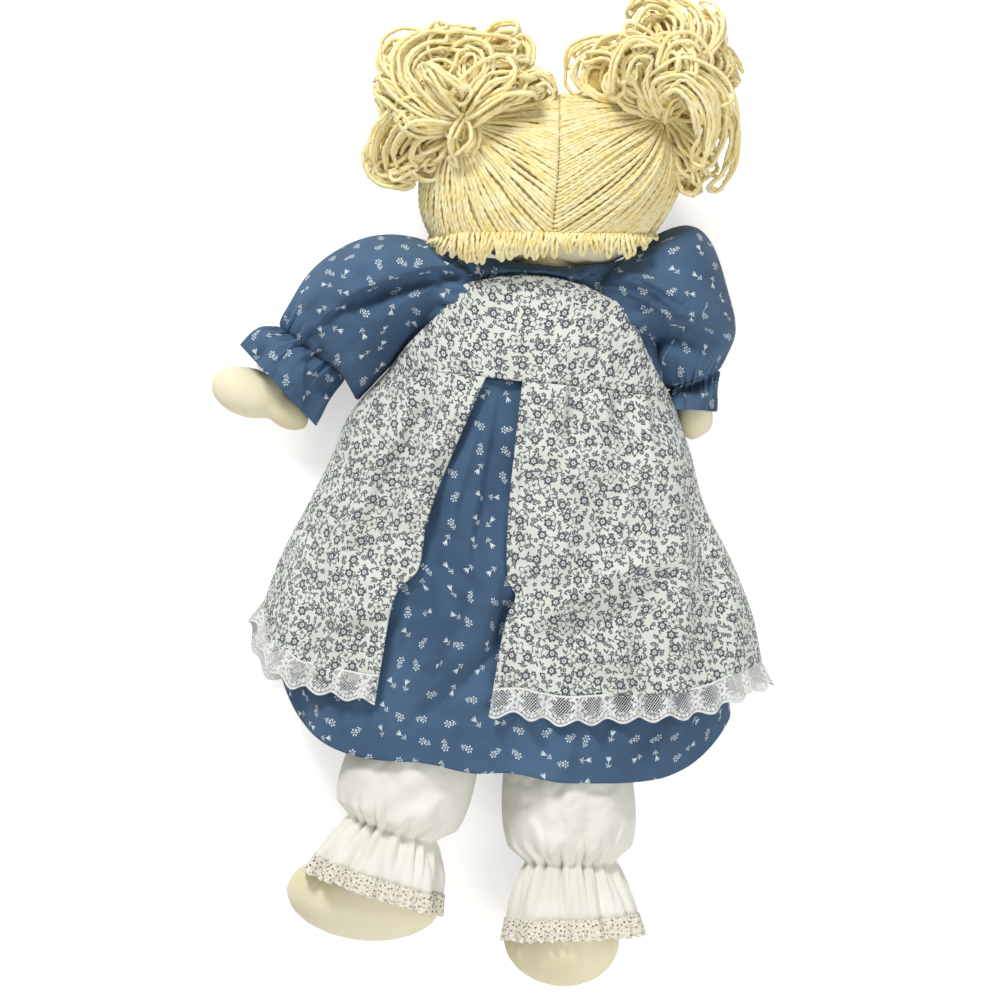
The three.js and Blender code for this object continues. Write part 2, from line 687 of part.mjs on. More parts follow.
const pinaforeSkirt = () => pinaforeSheet(waistShare + bodiceGap, pinaforeEnd - bodiceGap, 6, cloth, 0);
const pinaforeLace = () => pinaforeSheet(pinaforeEnd + bodiceGap, laceEnd, 1, laceThickness, cloth);

// Collar: a standing frill round the neck.
const collarLeanShare = 0.25; // how far its edge leans in, over its height
const collarWaves = 10;

function collarRuffle() {
  const [rows, columns] = [2, 30];
  const base = torsoTop + seamGap;
  const at = (r, c, off) => {
    const angle = (c / columns) * FULL_TURN;
    const wave = collarFrill * (r / rows) * Math.cos(collarWaves * angle);
    const lean = (r / rows) * collarHeight * collarLeanShare;
    const x = (collarHalfWidth + off + wave - lean) * Math.cos(angle);
    const z = (collarHalfDepth + off + wave + lean * Math.sin(angle)) * Math.sin(angle);
    return point(x, base + (r / rows) * collarHeight, bodyHeight + z);
  };
  return sheetSolid((r, c) => at(r, c, cloth), (r, c) => at(r, c, 0), rows, columns, true);
}

// Legs run from the hips to the ankles; places are shares of the leg: out from the mid-line, down, height.
const legShares = [[0.205, 0.3, 0.2], [0.25, 0.65, 0.19], [0.315, 0.97, 0.185], [0.35, 1.12, 0.185]];
const legSwellShares = [
  [0, 0.92],
  [0.14, 0.95],
  [0.35, 1.02],
  [0.6, 0.9],
  [0.78, 0.9],
  [0.95, 0.77],
  [1, 0.75],
];
const footShares = {
  left: { middle: [-0.39, 1.205, 0.185], size: [1.62, 0.92, 1.12] },
  right: { middle: [0.3, 1.275, 0.21], size: [1.2, 0.98, 1.27] },
};

const ankleDomeShare = 0.6; // length of the shank's round end over the leg's radius

function legPlaces(side) {
  const hip = hipPivots[side < 0 ? 0 : 1];
  const places = legShares.map(([out, down, height]) =>
    point(side * out * legLength, hip.y - down * legLength, height * legLength),
  );
  const lead = places[0].clone().sub(hip).normalize();
  return [hip.clone().addScaledVector(lead, -legRootRadius), hip, ...places];
}

// The leg with its foot, or grown by a gap, to cut what lies on it.
function leg(name, gap = 0) {
  const side = name === "left" ? -1 : 1;
  const places = legPlaces(side);
  const length = curveOf(places).getLength();
  const [rootShare, tipShare] = [legRootRadius / length, (legRadius * ankleDomeShare) / length];
  const ring = limbOf(places, legRadius, legSwellShares, rootShare, tipShare);
  const stations = stationShares(rootShare, tipShare, 3, 7);
  const grown = (t, angle) => ring(t, angle, gap);
  const shank = stuffed(grown, [places[0], places[places.length - 1]], stations, 16);
  const { middle, size } = footShares[name];
  const centre = point(middle[0] * legLength, -hipDrop - middle[1] * legLength, middle[2] * legLength);
  const stationsFoot = Array.from({ length: 9 }, (_, i) => i / 8);
  const footRing = (t, angle) => {
    const latitude = lerp(headPole, Math.PI - headPole, t);
    const p = point(
      (footHalfWidth * size[0] + gap) * Math.cos(latitude),
      (footHalfWidth * size[1] + gap) * Math.sin(latitude) * Math.cos(angle),
      (footHalfWidth * size[2] + gap) * Math.sin(latitude) * Math.sin(angle),
    );
    return pressed(p.add(centre), -gap);
  };
  const reach = point(footHalfWidth * size[0] + gap, 0, 0);
  const foot = stuffed(footRing, [centre.clone().add(reach), centre.clone().sub(reach)], stationsFoot, 14);
  return joined(shank, foot);
}

// Bloomers: half-width, half-depth and height, as shares, along the leg from the seat to the ankle frill.
const bloomersShares = [
  [0, 0.73, 0.96, 1.25],
  [0.15, 0.8, 0.98, 1.2],
  [0.4, 0.86, 0.98, 1.13],
  [0.68, 0.98, 1, 1.1],
  [0.8, 0.9, 0.94, 1.08],
  [0.87, 0.68, 0.82, 1.08],
  [0.9, 0.68, 0.82, 1.08],
  [1, 0.93, 1.15, 1.2],
];
const ankleGatherShare = 0.885;
const laceStartShare = 0.96; // where the crochet lace is sewn on
const bloomersFloor = 2 * (cloth + seamGap);
const seatEnd = 138; // where the seat meets the legs of the bloomers, below the chest
const ankleShares = { left: [-0.345, 1.085], right: [0.325, 1.15] };
const bloomersFoldDepth = 1.3;
const bloomersFolds = 5;

function bloomersPoint(name, t, angle, off, floor) {
  const side = name === "left" ? -1 : 1;
  const top = point(side * bloomersHalfSpan, -seatEnd - seamGap, 0);
  const [out, down] = ankleShares[name];
  const [kneeOut, kneeDown] = legShares[1];
  const knee = point(side * kneeOut * legLength, -hipDrop - kneeDown * legLength, 0);
  const end = point(out * legLength, -hipDrop - down * legLength, 0);
  const curve = new THREE.QuadraticBezierCurve3(top, knee, end);
  const tangent = curve.getTangent(t);
  const across = point(1, 0, 0).lerp(point(-tangent.y, tangent.x, 0), t).normalize();
  const frill = clamp((t - ankleGatherShare) / (1 - ankleGatherShare), 0, 1);
  const fold = bloomersFoldDepth * Math.cos(bloomersFolds * angle) * lerp(calmShare, 1, frill);
  const drawn = off + fold * clamp(t / seamShare, 0, 1);
  const half = bloomersHalfWidth * along(bloomersShares, t) + drawn;
  const depth = bloomersHalfDepth * along(bloomersShares, t, 2) + drawn;
  const middle = curve.getPoint(t);
  middle.addScaledVector(across, half * Math.cos(angle));
  middle.z = bloomersHalfDepth * along(bloomersShares, t, 3) + depth * Math.sin(angle);
  return pressed(middle, floor);
}

function bloomersLeg(name) {
  const placeShares = [0, 0.14, 0.3, 0.46, 0.62, 0.74, 0.82, 0.87, 0.9, laceStartShare, 1];
  const turn = (c) => (c / tubeColumns) * FULL_TURN;
  const at = (r, c, off, floor) => bloomersPoint(name, placeShares[r], turn(c), off, floor);
  const outer = (r, c) => at(r, c, 0, bloomersFloor);
  const inner = (r, c) => at(r, c, -cloth, bloomersFloor + cloth);
  return sheetSolid(outer, inner, placeShares.length - 1, tubeColumns, true);
}

function ankleElastic(name) {
  const at = (r, c, off, floor) => {
    const t = ankleGatherShare + ((r - 0.5) * elasticWidth) / legLength;
    return bloomersPoint(name, t, (c / tubeColumns) * FULL_TURN, off, floor);
  };
  const outerOff = -cloth - seamGap;
  const low = bloomersFloor + cloth + seamGap;
  const outer = (r, c) => at(r, c, outerOff, low);
  const inner = (r, c) => at(r, c, outerOff - elasticThickness, low + elasticThickness);
  return sheetSolid(outer, inner, 1, tubeColumns, true);
}

// The crochet lace is sewn on the outside of the ankle frill and flares past its edge.
function ankleLace(name) {
  const rows = 2;
  const at = (r, c, off, floor) => {
    const angle = (c / tubeColumns) * FULL_TURN;
    const on = bloomersPoint(name, laceStartShare, angle, off + seamGap, floor);
    const edge = bloomersPoint(name, 1, angle, off + ease, floor);
    if (r < rows) return r === 0 ? on : edge;
    const flare = edge.clone().sub(on);
    return pressed(edge.addScaledVector(flare, ankleLaceWidth / flare.length()), floor);
  };
  const outer = (r, c) => at(r, c, laceThickness, bloomersFloor - laceThickness - seamGap);
  const inner = (r, c) => at(r, c, 0, bloomersFloor - seamGap);
  return cutBy(sheetSolid(outer, inner, rows, tubeColumns, true), leg(name, seamGap));
}

// Seat of the bloomers, round the bottom of the torso and the tops of the legs.
const seatShares = [[0, 1.03, 1.04], [0.4, 1.08, 1.02], [1, 1.16, 0.95]];

function seatPoint(t, angle, off, floor) {
  const x = (torsoHalfWidth * along(seatShares, t) + off + elasticThickness + 2 * ease) * Math.cos(angle);
  const z = (torsoHalfDepth * along(seatShares, t, 2) + off) * Math.sin(angle);
  const y = -lerp(seatTop, seatEnd, t);
  return pressed(point(x, y, bodyHeight + z), floor);
}

function bloomersSeat() {
  const [rows, columns] = [3, 24];
  const at = (r, c, off, floor) => seatPoint(r / rows, (c / columns) * FULL_TURN, off, floor);
  const outer = (r, c) => at(r, c, cloth, bloomersFloor);
  const inner = (r, c) => at(r, c, 0, bloomersFloor + cloth);
  return sheetSolid(outer, inner, rows, columns, true);
}

function waistElastic() {
  const columns = 24;
  const at = (r, c, off, floor) => {
    const t = (ease + r * elasticWidth) / (seatEnd - seatTop);
    return seatPoint(t, (c / columns) * FULL_TURN, off - seamGap, floor);
  };
  const low = bloomersFloor + cloth + seamGap;
  const inner = (r, c) => at(r, c, -elasticThickness, low + elasticThickness);
  return sheetSolid((r, c) => at(r, c, 0, low), inner, 1, columns, true);
}

// Finishes
function finish(color, roughness) {
  return new THREE.MeshStandardMaterial({ color, roughness, metalness: 0 });
}
const muslin = finish("#eadfc2", 0.95);
const yarn = finish("#eadb9f", 0.9);
const tieYarn = finish("#e2cf8a", 0.9);
const blueCalico = finish("#4f6b93", 0.9);
const pinaforePrint = finish("#d9dde3", 0.9);
const whiteCotton = finish("#eeeae0", 0.92);
const netLace = finish("#e9e8ee", 0.85);
const crochetLace = finish("#dccfb4", 0.9);
const elastic = finish("#e6e2d8", 0.8);

const doll = new THREE.Group();
function add(name, geometry, material) {
  const mesh = new THREE.Mesh(geometry, material);
  mesh.name = name;
  doll.add(mesh);
}

add("torso", torso(), muslin);
add("head", head(), muslin);
add("hair_back_left", hairBack(1), yarn);
add("hair_back_right", hairBack(-1), yarn);
add("hair_front", hairFront(), yarn);
add("nape_fringe", napeFringe(), yarn);
add("dress_bodice", dressBodice(), blueCalico);
add("dress_skirt", dressSkirt(), blueCalico);
add("collar_ruffle", collarRuffle(), blueCalico);
add("pinafore_bodice", pinaforeBodice(), pinaforePrint);
add("pinafore_skirt", pinaforeSkirt(), pinaforePrint);
add("pinafore_lace", pinaforeLace(), netLace);
add("bloomers_seat", bloomersSeat(), whiteCotton);
add("bloomers_waist_elastic", waistElastic(), elastic);
for (const name of ["left", "right"]) {
  add(`${name}_hair_tie`, hairTie(name), tieYarn);
  add(`${name}_pigtail`, pigtail(name), yarn);
  add(`${name}_arm`, arm(name), muslin);
  add(`${name}_sleeve`, sleeve(name), blueCalico);
  add(`${name}_cuff_elastic`, cuffElastic(name), elastic);
  add(`${name}_leg`, leg(name), muslin);
  add(`bloomers_${name}_leg`, bloomersLeg(name), whiteCotton);
  add(`${name}_ankle_elastic`, ankleElastic(name), elastic);
  add(`${name}_ankle_lace`, ankleLace(name), crochetLace);
}

export default doll;
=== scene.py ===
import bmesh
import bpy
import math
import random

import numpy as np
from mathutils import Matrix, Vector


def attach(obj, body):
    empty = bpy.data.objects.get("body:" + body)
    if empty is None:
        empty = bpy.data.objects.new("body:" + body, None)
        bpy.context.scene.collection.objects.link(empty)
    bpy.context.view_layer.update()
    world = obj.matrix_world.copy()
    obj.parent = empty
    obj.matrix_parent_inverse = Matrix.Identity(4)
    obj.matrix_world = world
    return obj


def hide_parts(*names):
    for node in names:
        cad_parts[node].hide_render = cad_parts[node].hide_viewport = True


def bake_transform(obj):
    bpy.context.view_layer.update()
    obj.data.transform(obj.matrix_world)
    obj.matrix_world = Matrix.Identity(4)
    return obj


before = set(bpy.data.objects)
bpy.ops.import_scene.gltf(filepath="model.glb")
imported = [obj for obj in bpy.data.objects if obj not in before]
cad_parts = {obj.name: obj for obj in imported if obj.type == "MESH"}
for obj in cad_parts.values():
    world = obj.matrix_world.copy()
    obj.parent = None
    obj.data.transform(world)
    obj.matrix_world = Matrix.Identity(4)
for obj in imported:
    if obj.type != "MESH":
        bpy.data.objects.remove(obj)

# %% [markdown]
# # A rag doll in a calico dress and a print pinafore
# The doll lies face down on a pale table and is looked at from straight above, so the
# picture shows its back: yarn hair parted down the middle and tied in two pigtails, a blue
# dress with puffed sleeves, a pinafore open down the back, white bloomers and muslin feet.
# Each garment is cut and sewn from flat cloth on the real doll. Here each one starts as a
# flat grid too, which is then laid in its place, so that its weave and print keep true size.

MM = 0.001
TURN = 2 * math.pi
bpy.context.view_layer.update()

# %% [markdown]
# ## Camera, lamps and table
# The picture was taken from straight above with a small turn of the camera, and shows about
# half a metre of table across. A long lens two metres up gives that view without bending the
# doll's edges. The light is soft and comes mostly from the upper left, low enough to draw
# the folds.

# %% Camera
LOOK_AT = Vector((-11.56, -94.6, 37)) * MM
CAMERA_HEIGHT = 2.0
FRAME_WIDTH = 0.55
CAMERA_TURN = math.radians(6.2)
SENSOR = 36


def in_scene(name, data):
    """A new object of the scene, made of the given data."""
    made = bpy.data.objects.new(name, data)
    bpy.context.scene.collection.objects.link(made)
    return made


camera_data = bpy.data.cameras.new("camera")
camera_data.sensor_width = SENSOR
camera_data.lens = SENSOR * CAMERA_HEIGHT / FRAME_WIDTH
camera = in_scene("camera", camera_data)
camera.location = LOOK_AT + Vector((0, 0, CAMERA_HEIGHT))
camera.rotation_euler = (0, 0, CAMERA_TURN)
bpy.context.scene.camera = camera
bpy.context.scene.view_settings.view_transform = "Standard"
print("lens:", round(camera_data.lens, 1), "mm")

# %% Colours, and one helper for nodes
def linear(hex_colour):
    """A colour as it is written on a paint chart, turned to the numbers that light uses."""
    channels = [int(hex_colour[i:i + 2], 16) / 255 for i in (1, 3, 5)]
    return [c / 12.92 if c <= 0.04045 else ((c + 0.055) / 1.055) ** 2.4 for c in channels] + [1]


def add_node(tree, kind, inputs=None, **settings):
    """Adds a node, sets its settings, and sets or links its inputs."""
    made = tree.nodes.new("ShaderNode" + kind)
    for name, value in settings.items():
        setattr(made, name, value)
    for socket, value in (inputs or {}).items():
        if isinstance(value, bpy.types.NodeSocket):
            tree.links.new(value, made.inputs[socket])
        else:
            made.inputs[socket].default_value = value
    return made


def new_material(name):
    """An empty material, and the tree that its nodes go into."""
    material = bpy.data.materials.new(name)
    material.use_nodes = True
    material.node_tree.nodes.clear()
    return material, material.node_tree


# %% Lamps: the place and size of each in metres, and its power in watts
LAMPS = {"key_lamp": ((-0.9, 1.6, 1.35), 0.6, 37), "fill_lamp": ((0.9, -1.2, 1.5), 1.2, 17)}
SKY_STRENGTH = 0.45
for name, (place, size, power) in LAMPS.items():
    data = bpy.data.lights.new(name, "AREA")
    data.size, data.energy = size, power
    lamp = in_scene(name, data)
    lamp.location = place
    lamp.rotation_euler = (LOOK_AT - Vector(place)).to_track_quat("-Z", "Y").to_euler()
world = bpy.data.worlds.new("studio")
world.use_nodes = True
bpy.context.scene.world = world
backdrop = world.node_tree.nodes["Background"]
backdrop.inputs["Color"].default_value = linear("#ffffff")
backdrop.inputs["Strength"].default_value = SKY_STRENGTH
print("lamps:", ", ".join(LAMPS))

# %% Table of white paper, which is a little brighter to the camera than its light makes it
TABLE_HALF, TABLE_GLOW = 4, 0.5


def mesh_of(name, bm):
    """The mesh of a finished shape, which is then let go."""
    mesh = bpy.data.meshes.new(name)
    bm.to_mesh(mesh)
    bm.free()
    return mesh


paper, tree = new_material("white_table_paper")
seen = add_node(tree, "LightPath").outputs["Is Camera Ray"]
matt = add_node(tree, "BsdfDiffuse", {"Color": linear("#f4f4f2")})
lift = add_node(tree, "Emission", {"Color": linear("#ffffff"), "Strength": TABLE_GLOW})
both = add_node(tree, "AddShader", {0: matt.outputs[0], 1: lift.outputs[0]})
shown = add_node(tree, "MixShader", {0: seen, 1: matt.outputs[0], 2: both.outputs[0]})
add_node(tree, "OutputMaterial", {"Surface": shown.outputs[0]})
bm = bmesh.new()
bmesh.ops.create_grid(bm, x_segments=1, y_segments=1, size=TABLE_HALF)
bmesh.ops.translate(bm, verts=bm.verts, vec=(0, 0, -1 * MM))
table = in_scene("table", mesh_of("table", bm))
table.data.materials.append(paper)
print("table:", 2 * TABLE_HALF, "m wide")

# %% [markdown]
# ## Cloth and yarn finishes
# Every cloth here is a plain weave of spun cotton: matt, with a little sheen where fibres
# stand off it. A thread of this calico is near 0.3 mm, too fine for the picture, so the
# weave is drawn with threads of 0.9 mm. Prints are drawn on the cloth's own flat size, in
# millimetres, so that a sprig is as big on a sleeve as on the skirt.

# %% The weave, which every cotton cloth here shares
THREAD_SHOWN = 0.9
MM_PER_METRE = 1000
FUZZ = {"Sheen Roughness": 0.5, "IOR": 1.45}


def weave(tree, flat, strength, distance):
    """Bump of a plain weave: two sets of threads that cross, with slubs and small creases."""
    angle = TURN / THREAD_SHOWN
    across = add_node(tree, "SeparateXYZ", {0: flat})
    warp_turn = add_node(tree, "Math", {0: across.outputs[0], 1: angle}, operation="MULTIPLY")
    weft_turn = add_node(tree, "Math", {0: across.outputs[1], 1: angle}, operation="MULTIPLY")
    warp = add_node(tree, "Math", {0: warp_turn.outputs[0]}, operation="SINE")
    weft = add_node(tree, "Math", {0: weft_turn.outputs[0]}, operation="SINE")
    crossing = add_node(tree, "Math", {0: warp.outputs[0], 1: weft.outputs[0]}, operation="MULTIPLY")
    slub = add_node(tree, "TexNoise", {"Vector": flat, "Scale": 0.5, "Detail": 6.0})
    height = add_node(tree, "Math", {0: crossing.outputs[0], 1: 0.3, 2: slub.outputs[0]}, operation="MULTIPLY_ADD")
    bump = add_node(tree, "Bump", {"Strength": strength, "Distance": distance * MM, "Height": height.outputs[0]})
    return bump.outputs[0]


def cloth_shader(tree, colour, bump, roughness=0.86, sheen=0.25, alpha=None):
    """Matt cotton with a little fuzz."""
    inputs = {"Base Color": colour, "Roughness": roughness, "Sheen Weight": sheen, "Normal": bump, **FUZZ}
    if alpha is not None:
        inputs["Alpha"] = alpha
    shader = add_node(tree, "BsdfPrincipled", inputs)
    add_node(tree, "OutputMaterial", {"Surface": shader.outputs[0]})


def flat_millimetres(tree):
    """The cloth's own flat place in millimetres, which its UV map holds in metres."""
    uv = add_node(tree, "UVMap", uv_map="cut")
    return add_node(tree, "VectorMath", {0: uv.outputs[0], "Scale": MM_PER_METRE}, operation="SCALE").outputs[0]


def solid_millimetres(tree):
    """The place on the piece itself in millimetres, for what isn't laid from flat cloth."""
    local = add_node(tree, "TexCoord").outputs["Object"]
    return add_node(tree, "VectorMath", {0: local, "Scale": MM_PER_METRE}, operation="SCALE").outputs[0]


def tinted(tree, flat, dark, light, size):
    """Cloth is never one even colour: washing and handling leave it lighter in patches."""
    patch = add_node(tree, "TexNoise", {"Vector": flat, "Scale": 1 / size, "Detail": 3.0})
    ramp = add_node(tree, "MapRange", {0: patch.outputs[0], 1: 0.35, 2: 0.65})
    colours = {"Factor": ramp.outputs[0], "A": linear(dark), "B": linear(light)}
    return add_node(tree, "Mix", colours, data_type="RGBA").outputs["Result"]


# %% Helper for prints: a motif's own place, turned its own way
def motif_places(tree, flat, spacing, randomness, scramble):
    """Scatters motifs about one spacing apart. Gives the place seen from each motif's middle."""
    moved = add_node(tree, "Mapping", {"Vector": flat, "Location": (scramble, scramble, 0)})
    cells = add_node(tree, "TexVoronoi", {"Vector": moved.outputs[0], "Scale": 1 / spacing,
                                          "Randomness": randomness}, voronoi_dimensions="2D")
    local = add_node(tree, "VectorMath", {0: moved.outputs[0], 1: cells.outputs["Position"]}, operation="SUBTRACT")
    chance = add_node(tree, "SeparateColor", {0: cells.outputs["Color"]})
    angle = add_node(tree, "Math", {0: chance.outputs[0], 1: TURN}, operation="MULTIPLY")
    turned = add_node(tree, "VectorRotate", {"Vector": local.outputs[0], "Angle": angle.outputs[0]},
                      rotation_type="Z_AXIS")
    return turned.outputs[0], chance.outputs[1]


def petals(tree, place, count, radius, wave, soft=0.14):
    """1 inside a flower's outline, 0 outside."""
    apart = add_node(tree, "SeparateXYZ", {0: place})
    angle = add_node(tree, "Math", {0: apart.outputs[1], 1: apart.outputs[0]}, operation="ARCTAN2")
    times = add_node(tree, "Math", {0: angle.outputs[0], 1: count}, operation="MULTIPLY")
    lobes = add_node(tree, "Math", {0: times.outputs[0]}, operation="COSINE")
    edge = add_node(tree, "Math", {0: lobes.outputs[0], 1: wave, 2: radius}, operation="MULTIPLY_ADD")
    far = add_node(tree, "VectorMath", {0: place}, operation="LENGTH")
    inside = add_node(tree, "Math", {0: edge.outputs[0], 1: far.outputs["Value"]}, operation="SUBTRACT")
    return add_node(tree, "MapRange", {0: inside.outputs[0], 1: -soft, 2: soft}).outputs[0]


def oval(tree, place, middle, size, angle, soft):
    """1 inside an oval such as a leaf or a stem, 0 outside."""
    laid = add_node(tree, "Mapping", {"Vector": place, "Location": (*middle, 0), "Rotation": (0, 0, angle),
                                      "Scale": (size[0], size[1], 1)}, vector_type="TEXTURE")
    far = add_node(tree, "VectorMath", {0: laid.outputs[0]}, operation="LENGTH")
    return add_node(tree, "MapRange", {0: far.outputs["Value"], 1: 1 + soft, 2: 1 - soft}).outputs[0]


def most(tree, *masks):
    """The strongest of several masks."""
    best = masks[0]
    for mask in masks[1:]:
        best = add_node(tree, "Math", {0: best, 1: mask}, operation="MAXIMUM").outputs[0]
    return best


def ovals(tree, place, rows, soft=0.2):
    """All ovals of one motif. Each row gives a middle, a size and an angle."""
    return most(tree, *(oval(tree, place, *row, soft) for row in rows))


# %% [markdown]
# ### The blue calico
# The dress is printed calico: white sprigs about 5 mm across, scattered in loose rows over a
# dusty blue ground. Each sprig is drawn from ovals and turned its own way.

# %% Blue calico with white sprigs: a flower or a cup on a stem with three leaves
SPRIG_SPACING, SPRIG_SCATTER = 13.5, 0.42
FLOWER_PETALS, PETAL_OUT, PETAL_SIZE = 6, 1.55, (0.62, 0.42)
FLOWER_MIDDLE = ((0, 1), (0.4, 0.4), 0)
CUP = [((-0.75, 1.5), (0.36, 1.25), 0.45), ((0.75, 1.5), (0.36, 1.25), -0.45),
       ((0, 1.5), (0.34, 1.4), 0), ((0, 0.6), (0.65, 0.6), 0)]
FLOWERS_BELOW = 0.52
STEM = ((0.1, -1.5), (0.16, 1.9), 0.06)
SPRIG_LEAVES = [((-0.85, -1.9), (0.24, 0.95), 0.9), ((0.95, -2.4), (0.24, 0.95), -0.8),
                ((-0.6, -3.2), (0.2, 0.7), 0.7)]
calico, tree = new_material("blue_calico_print")
flat = flat_millimetres(tree)
place, kind = motif_places(tree, flat, SPRIG_SPACING, SPRIG_SCATTER, 3)
flower_rows = [FLOWER_MIDDLE]
for turn in (TURN * k / FLOWER_PETALS for k in range(FLOWER_PETALS)):
    flower_rows.append(((PETAL_OUT * math.cos(turn), 1 + PETAL_OUT * math.sin(turn)), PETAL_SIZE, turn))
flower = ovals(tree, place, flower_rows, 0.25)
is_cup = add_node(tree, "Math", {0: kind, 1: FLOWERS_BELOW}, operation="GREATER_THAN").outputs[0]
head_of_sprig = add_node(tree, "Mix", {"Factor": is_cup, "A": flower, "B": ovals(tree, place, CUP)}).outputs[0]
sprig = most(tree, head_of_sprig, oval(tree, place, *STEM, 0.25), ovals(tree, place, SPRIG_LEAVES))
ground = tinted(tree, flat, "#3b5672", "#486684", 60)
coloured = add_node(tree, "Mix", {"Factor": sprig, "A": ground, "B": linear("#d5dfe4")}, data_type="RGBA")
cloth_shader(tree, coloured.outputs["Result"], weave(tree, flat, 0.35, 0.25), sheen=0.08)
print(calico.name, "nodes:", len(tree.nodes))

# %% [markdown]
# ### The pinafore's print
# A pale cotton, printed close together in one dark ink with roses, open blooms, buds and
# leaves. Each kind is scattered by itself, and the smaller ones stop where a larger one lies.

# %% Pinafore print: small ink flowers and leaves on a pale ground
PRINT_LEAVES = [((-0.65, 0.35), (0.46, 1.4), 0.5), ((0.7, -0.35), (0.44, 1.3), -0.55)]
pinafore_print, tree = new_material("pinafore_floral_print")
flat = flat_millimetres(tree)


def clear_of(tree, mark, other):
    """A mark where another motif isn't."""
    free = add_node(tree, "Math", {0: 1, 1: other}, operation="SUBTRACT").outputs[0]
    return add_node(tree, "Math", {0: mark, 1: free}, operation="MULTIPLY").outputs[0]


def ring_flower(tree, place, count, outer, inner, wave):
    """A flower drawn as a dark ring with petals and a dot in the middle."""
    whole = petals(tree, place, count, outer, wave)
    band = clear_of(tree, whole, petals(tree, place, count, inner, wave * 0.4))
    return whole, most(tree, band, petals(tree, place, 1, inner * 0.4, 0))


rose_place, _ = motif_places(tree, flat, 10.5, 0.6, 0)
rose, rose_ink = ring_flower(tree, rose_place, 6, 2.5, 1.15, 0.4)
bloom_place, _ = motif_places(tree, flat, 15.0, 0.6, 31)
bloom = petals(tree, bloom_place, 4, 3.3, 0.9)
bloom_line = clear_of(tree, bloom, petals(tree, bloom_place, 4, 2.7, 0.8))
bloom_ink = clear_of(tree, most(tree, bloom_line, petals(tree, bloom_place, 5, 0.9, 0.5)), rose)
bud_place, _ = motif_places(tree, flat, 5.2, 0.8, 11)
bud, bud_ink = ring_flower(tree, bud_place, 5, 1.15, 0.36, 0.25)
leaf_place, _ = motif_places(tree, flat, 4.5, 0.75, 47)
leaf = ovals(tree, leaf_place, PRINT_LEAVES)
taken = most(tree, rose, bloom)
ink_mask = most(tree, rose_ink, bloom_ink, clear_of(tree, most(tree, bud_ink, clear_of(tree, leaf, bud)), taken))
uneven = add_node(tree, "TexNoise", {"Vector": flat, "Scale": 1.4, "Detail": 2.0})
worn = add_node(tree, "MapRange", {0: uneven.outputs[0], 1: 0.3, 2: 0.6, 3: 0.78, 4: 1.0}).outputs[0]
ink = add_node(tree, "Math", {0: ink_mask, 1: worn}, operation="MULTIPLY").outputs[0]
ground = tinted(tree, flat, "#d2d7cd", "#e0e4da", 50)
coloured = add_node(tree, "Mix", {"Factor": ink, "A": ground, "B": linear("#323a4d")}, data_type="RGBA")
cloth_shader(tree, coloured.outputs["Result"], weave(tree, flat, 0.3, 0.25))
print(pinafore_print.name, "nodes:", len(tree.nodes))

# %% [markdown]
# ### Plain cottons and yarn
# The bloomers are white lawn and the body is unbleached muslin, which is more yellow. They
# have no print, so only their weave and an uneven tint show. The hair is soft spun yarn.

# %% White cotton, muslin and yarn
white_cotton, tree = new_material("white_cotton_lawn")
flat = flat_millimetres(tree)
cloth_shader(tree, tinted(tree, flat, "#e4e2d6", "#f0eee4", 45), weave(tree, flat, 0.35, 0.3))

MUSLIN_DARK, MUSLIN_LIGHT, MUSLIN_PATCH = "#e8deb6", "#f1e8ca", 40
muslin, tree = new_material("cream_muslin")
flat = solid_millimetres(tree)
cloth_shader(tree, tinted(tree, flat, MUSLIN_DARK, MUSLIN_LIGHT, MUSLIN_PATCH), weave(tree, flat, 0.35, 0.3))


def spun_yarn(name, dark, light, patch, fibres, rise, roughness, sheen):
    """Soft spun yarn. Fibres gives the scale and detail of its hairs, rise how they stand up."""
    material, tree = new_material(name)
    flat = solid_millimetres(tree)
    fibre = add_node(tree, "TexNoise", {"Vector": flat, "Scale": fibres[0], "Detail": fibres[1]})
    bump = add_node(tree, "Bump", {"Strength": rise[0], "Distance": rise[1] * MM, "Height": fibre.outputs[0]})
    cloth_shader(tree, tinted(tree, flat, dark, light, patch), bump.outputs[0], roughness, sheen)
    print(name, "nodes:", len(tree.nodes))
    return material


yarn = spun_yarn("spun_hair_yarn", "#fbe8a0", "#fff4c2", 25 / 3, (1.6, 4.0), (0.5, 0.4), 0.8, 0.4)

# %% [markdown]
# ### The two laces
# The pinafore's lace is a net with sprays and windows worked into it and a beaded, scalloped
# edge. That of the ankles is a narrow beige crochet. Both are drawn as threads, and between
# the threads they are clear, so that the cloth below shows through as in the real ones.

# %% Two laces, which are threads round holes
LACE_REPEAT, LACE_EDGE, LACE_WAVE = 19, 15.4, 1.7
BEAD_REPEAT, BEAD_LEVEL = 2.4, 2.9
WINDOW_LEVEL, SPRAY_LEVEL = 6.2, 6.5
SPRAY_LEAVES = [((-3.0, -2.2), (0.8, 1.9), 0.6), ((3.0, -2.2), (0.8, 1.9), -0.6),
                ((-3.4, -10.4), (0.8, 1.6), -0.7), ((3.4, -10.4), (0.8, 1.6), 0.7)]
NET_HOLE, NET_LEAN = 1.25, math.radians(38)
NET_THREADS = ((0, 0.5), (1, 0.33))


def repeated(tree, value, every, shift=0.0):
    """A length that starts again at each repeat: from minus half to plus half of it."""
    shared = add_node(tree, "Math", {0: value, 1: 1 / every, 2: shift}, operation="MULTIPLY_ADD").outputs[0]
    part = add_node(tree, "Math", {0: shared}, operation="FRACT").outputs[0]
    return add_node(tree, "Math", {0: part, 1: every, 2: -every / 2}, operation="MULTIPLY_ADD").outputs[0]


def over(tree, value, low, high):
    """0 below the low value, 1 above the high one."""
    return add_node(tree, "MapRange", {0: value, 1: low, 2: high}).outputs[0]


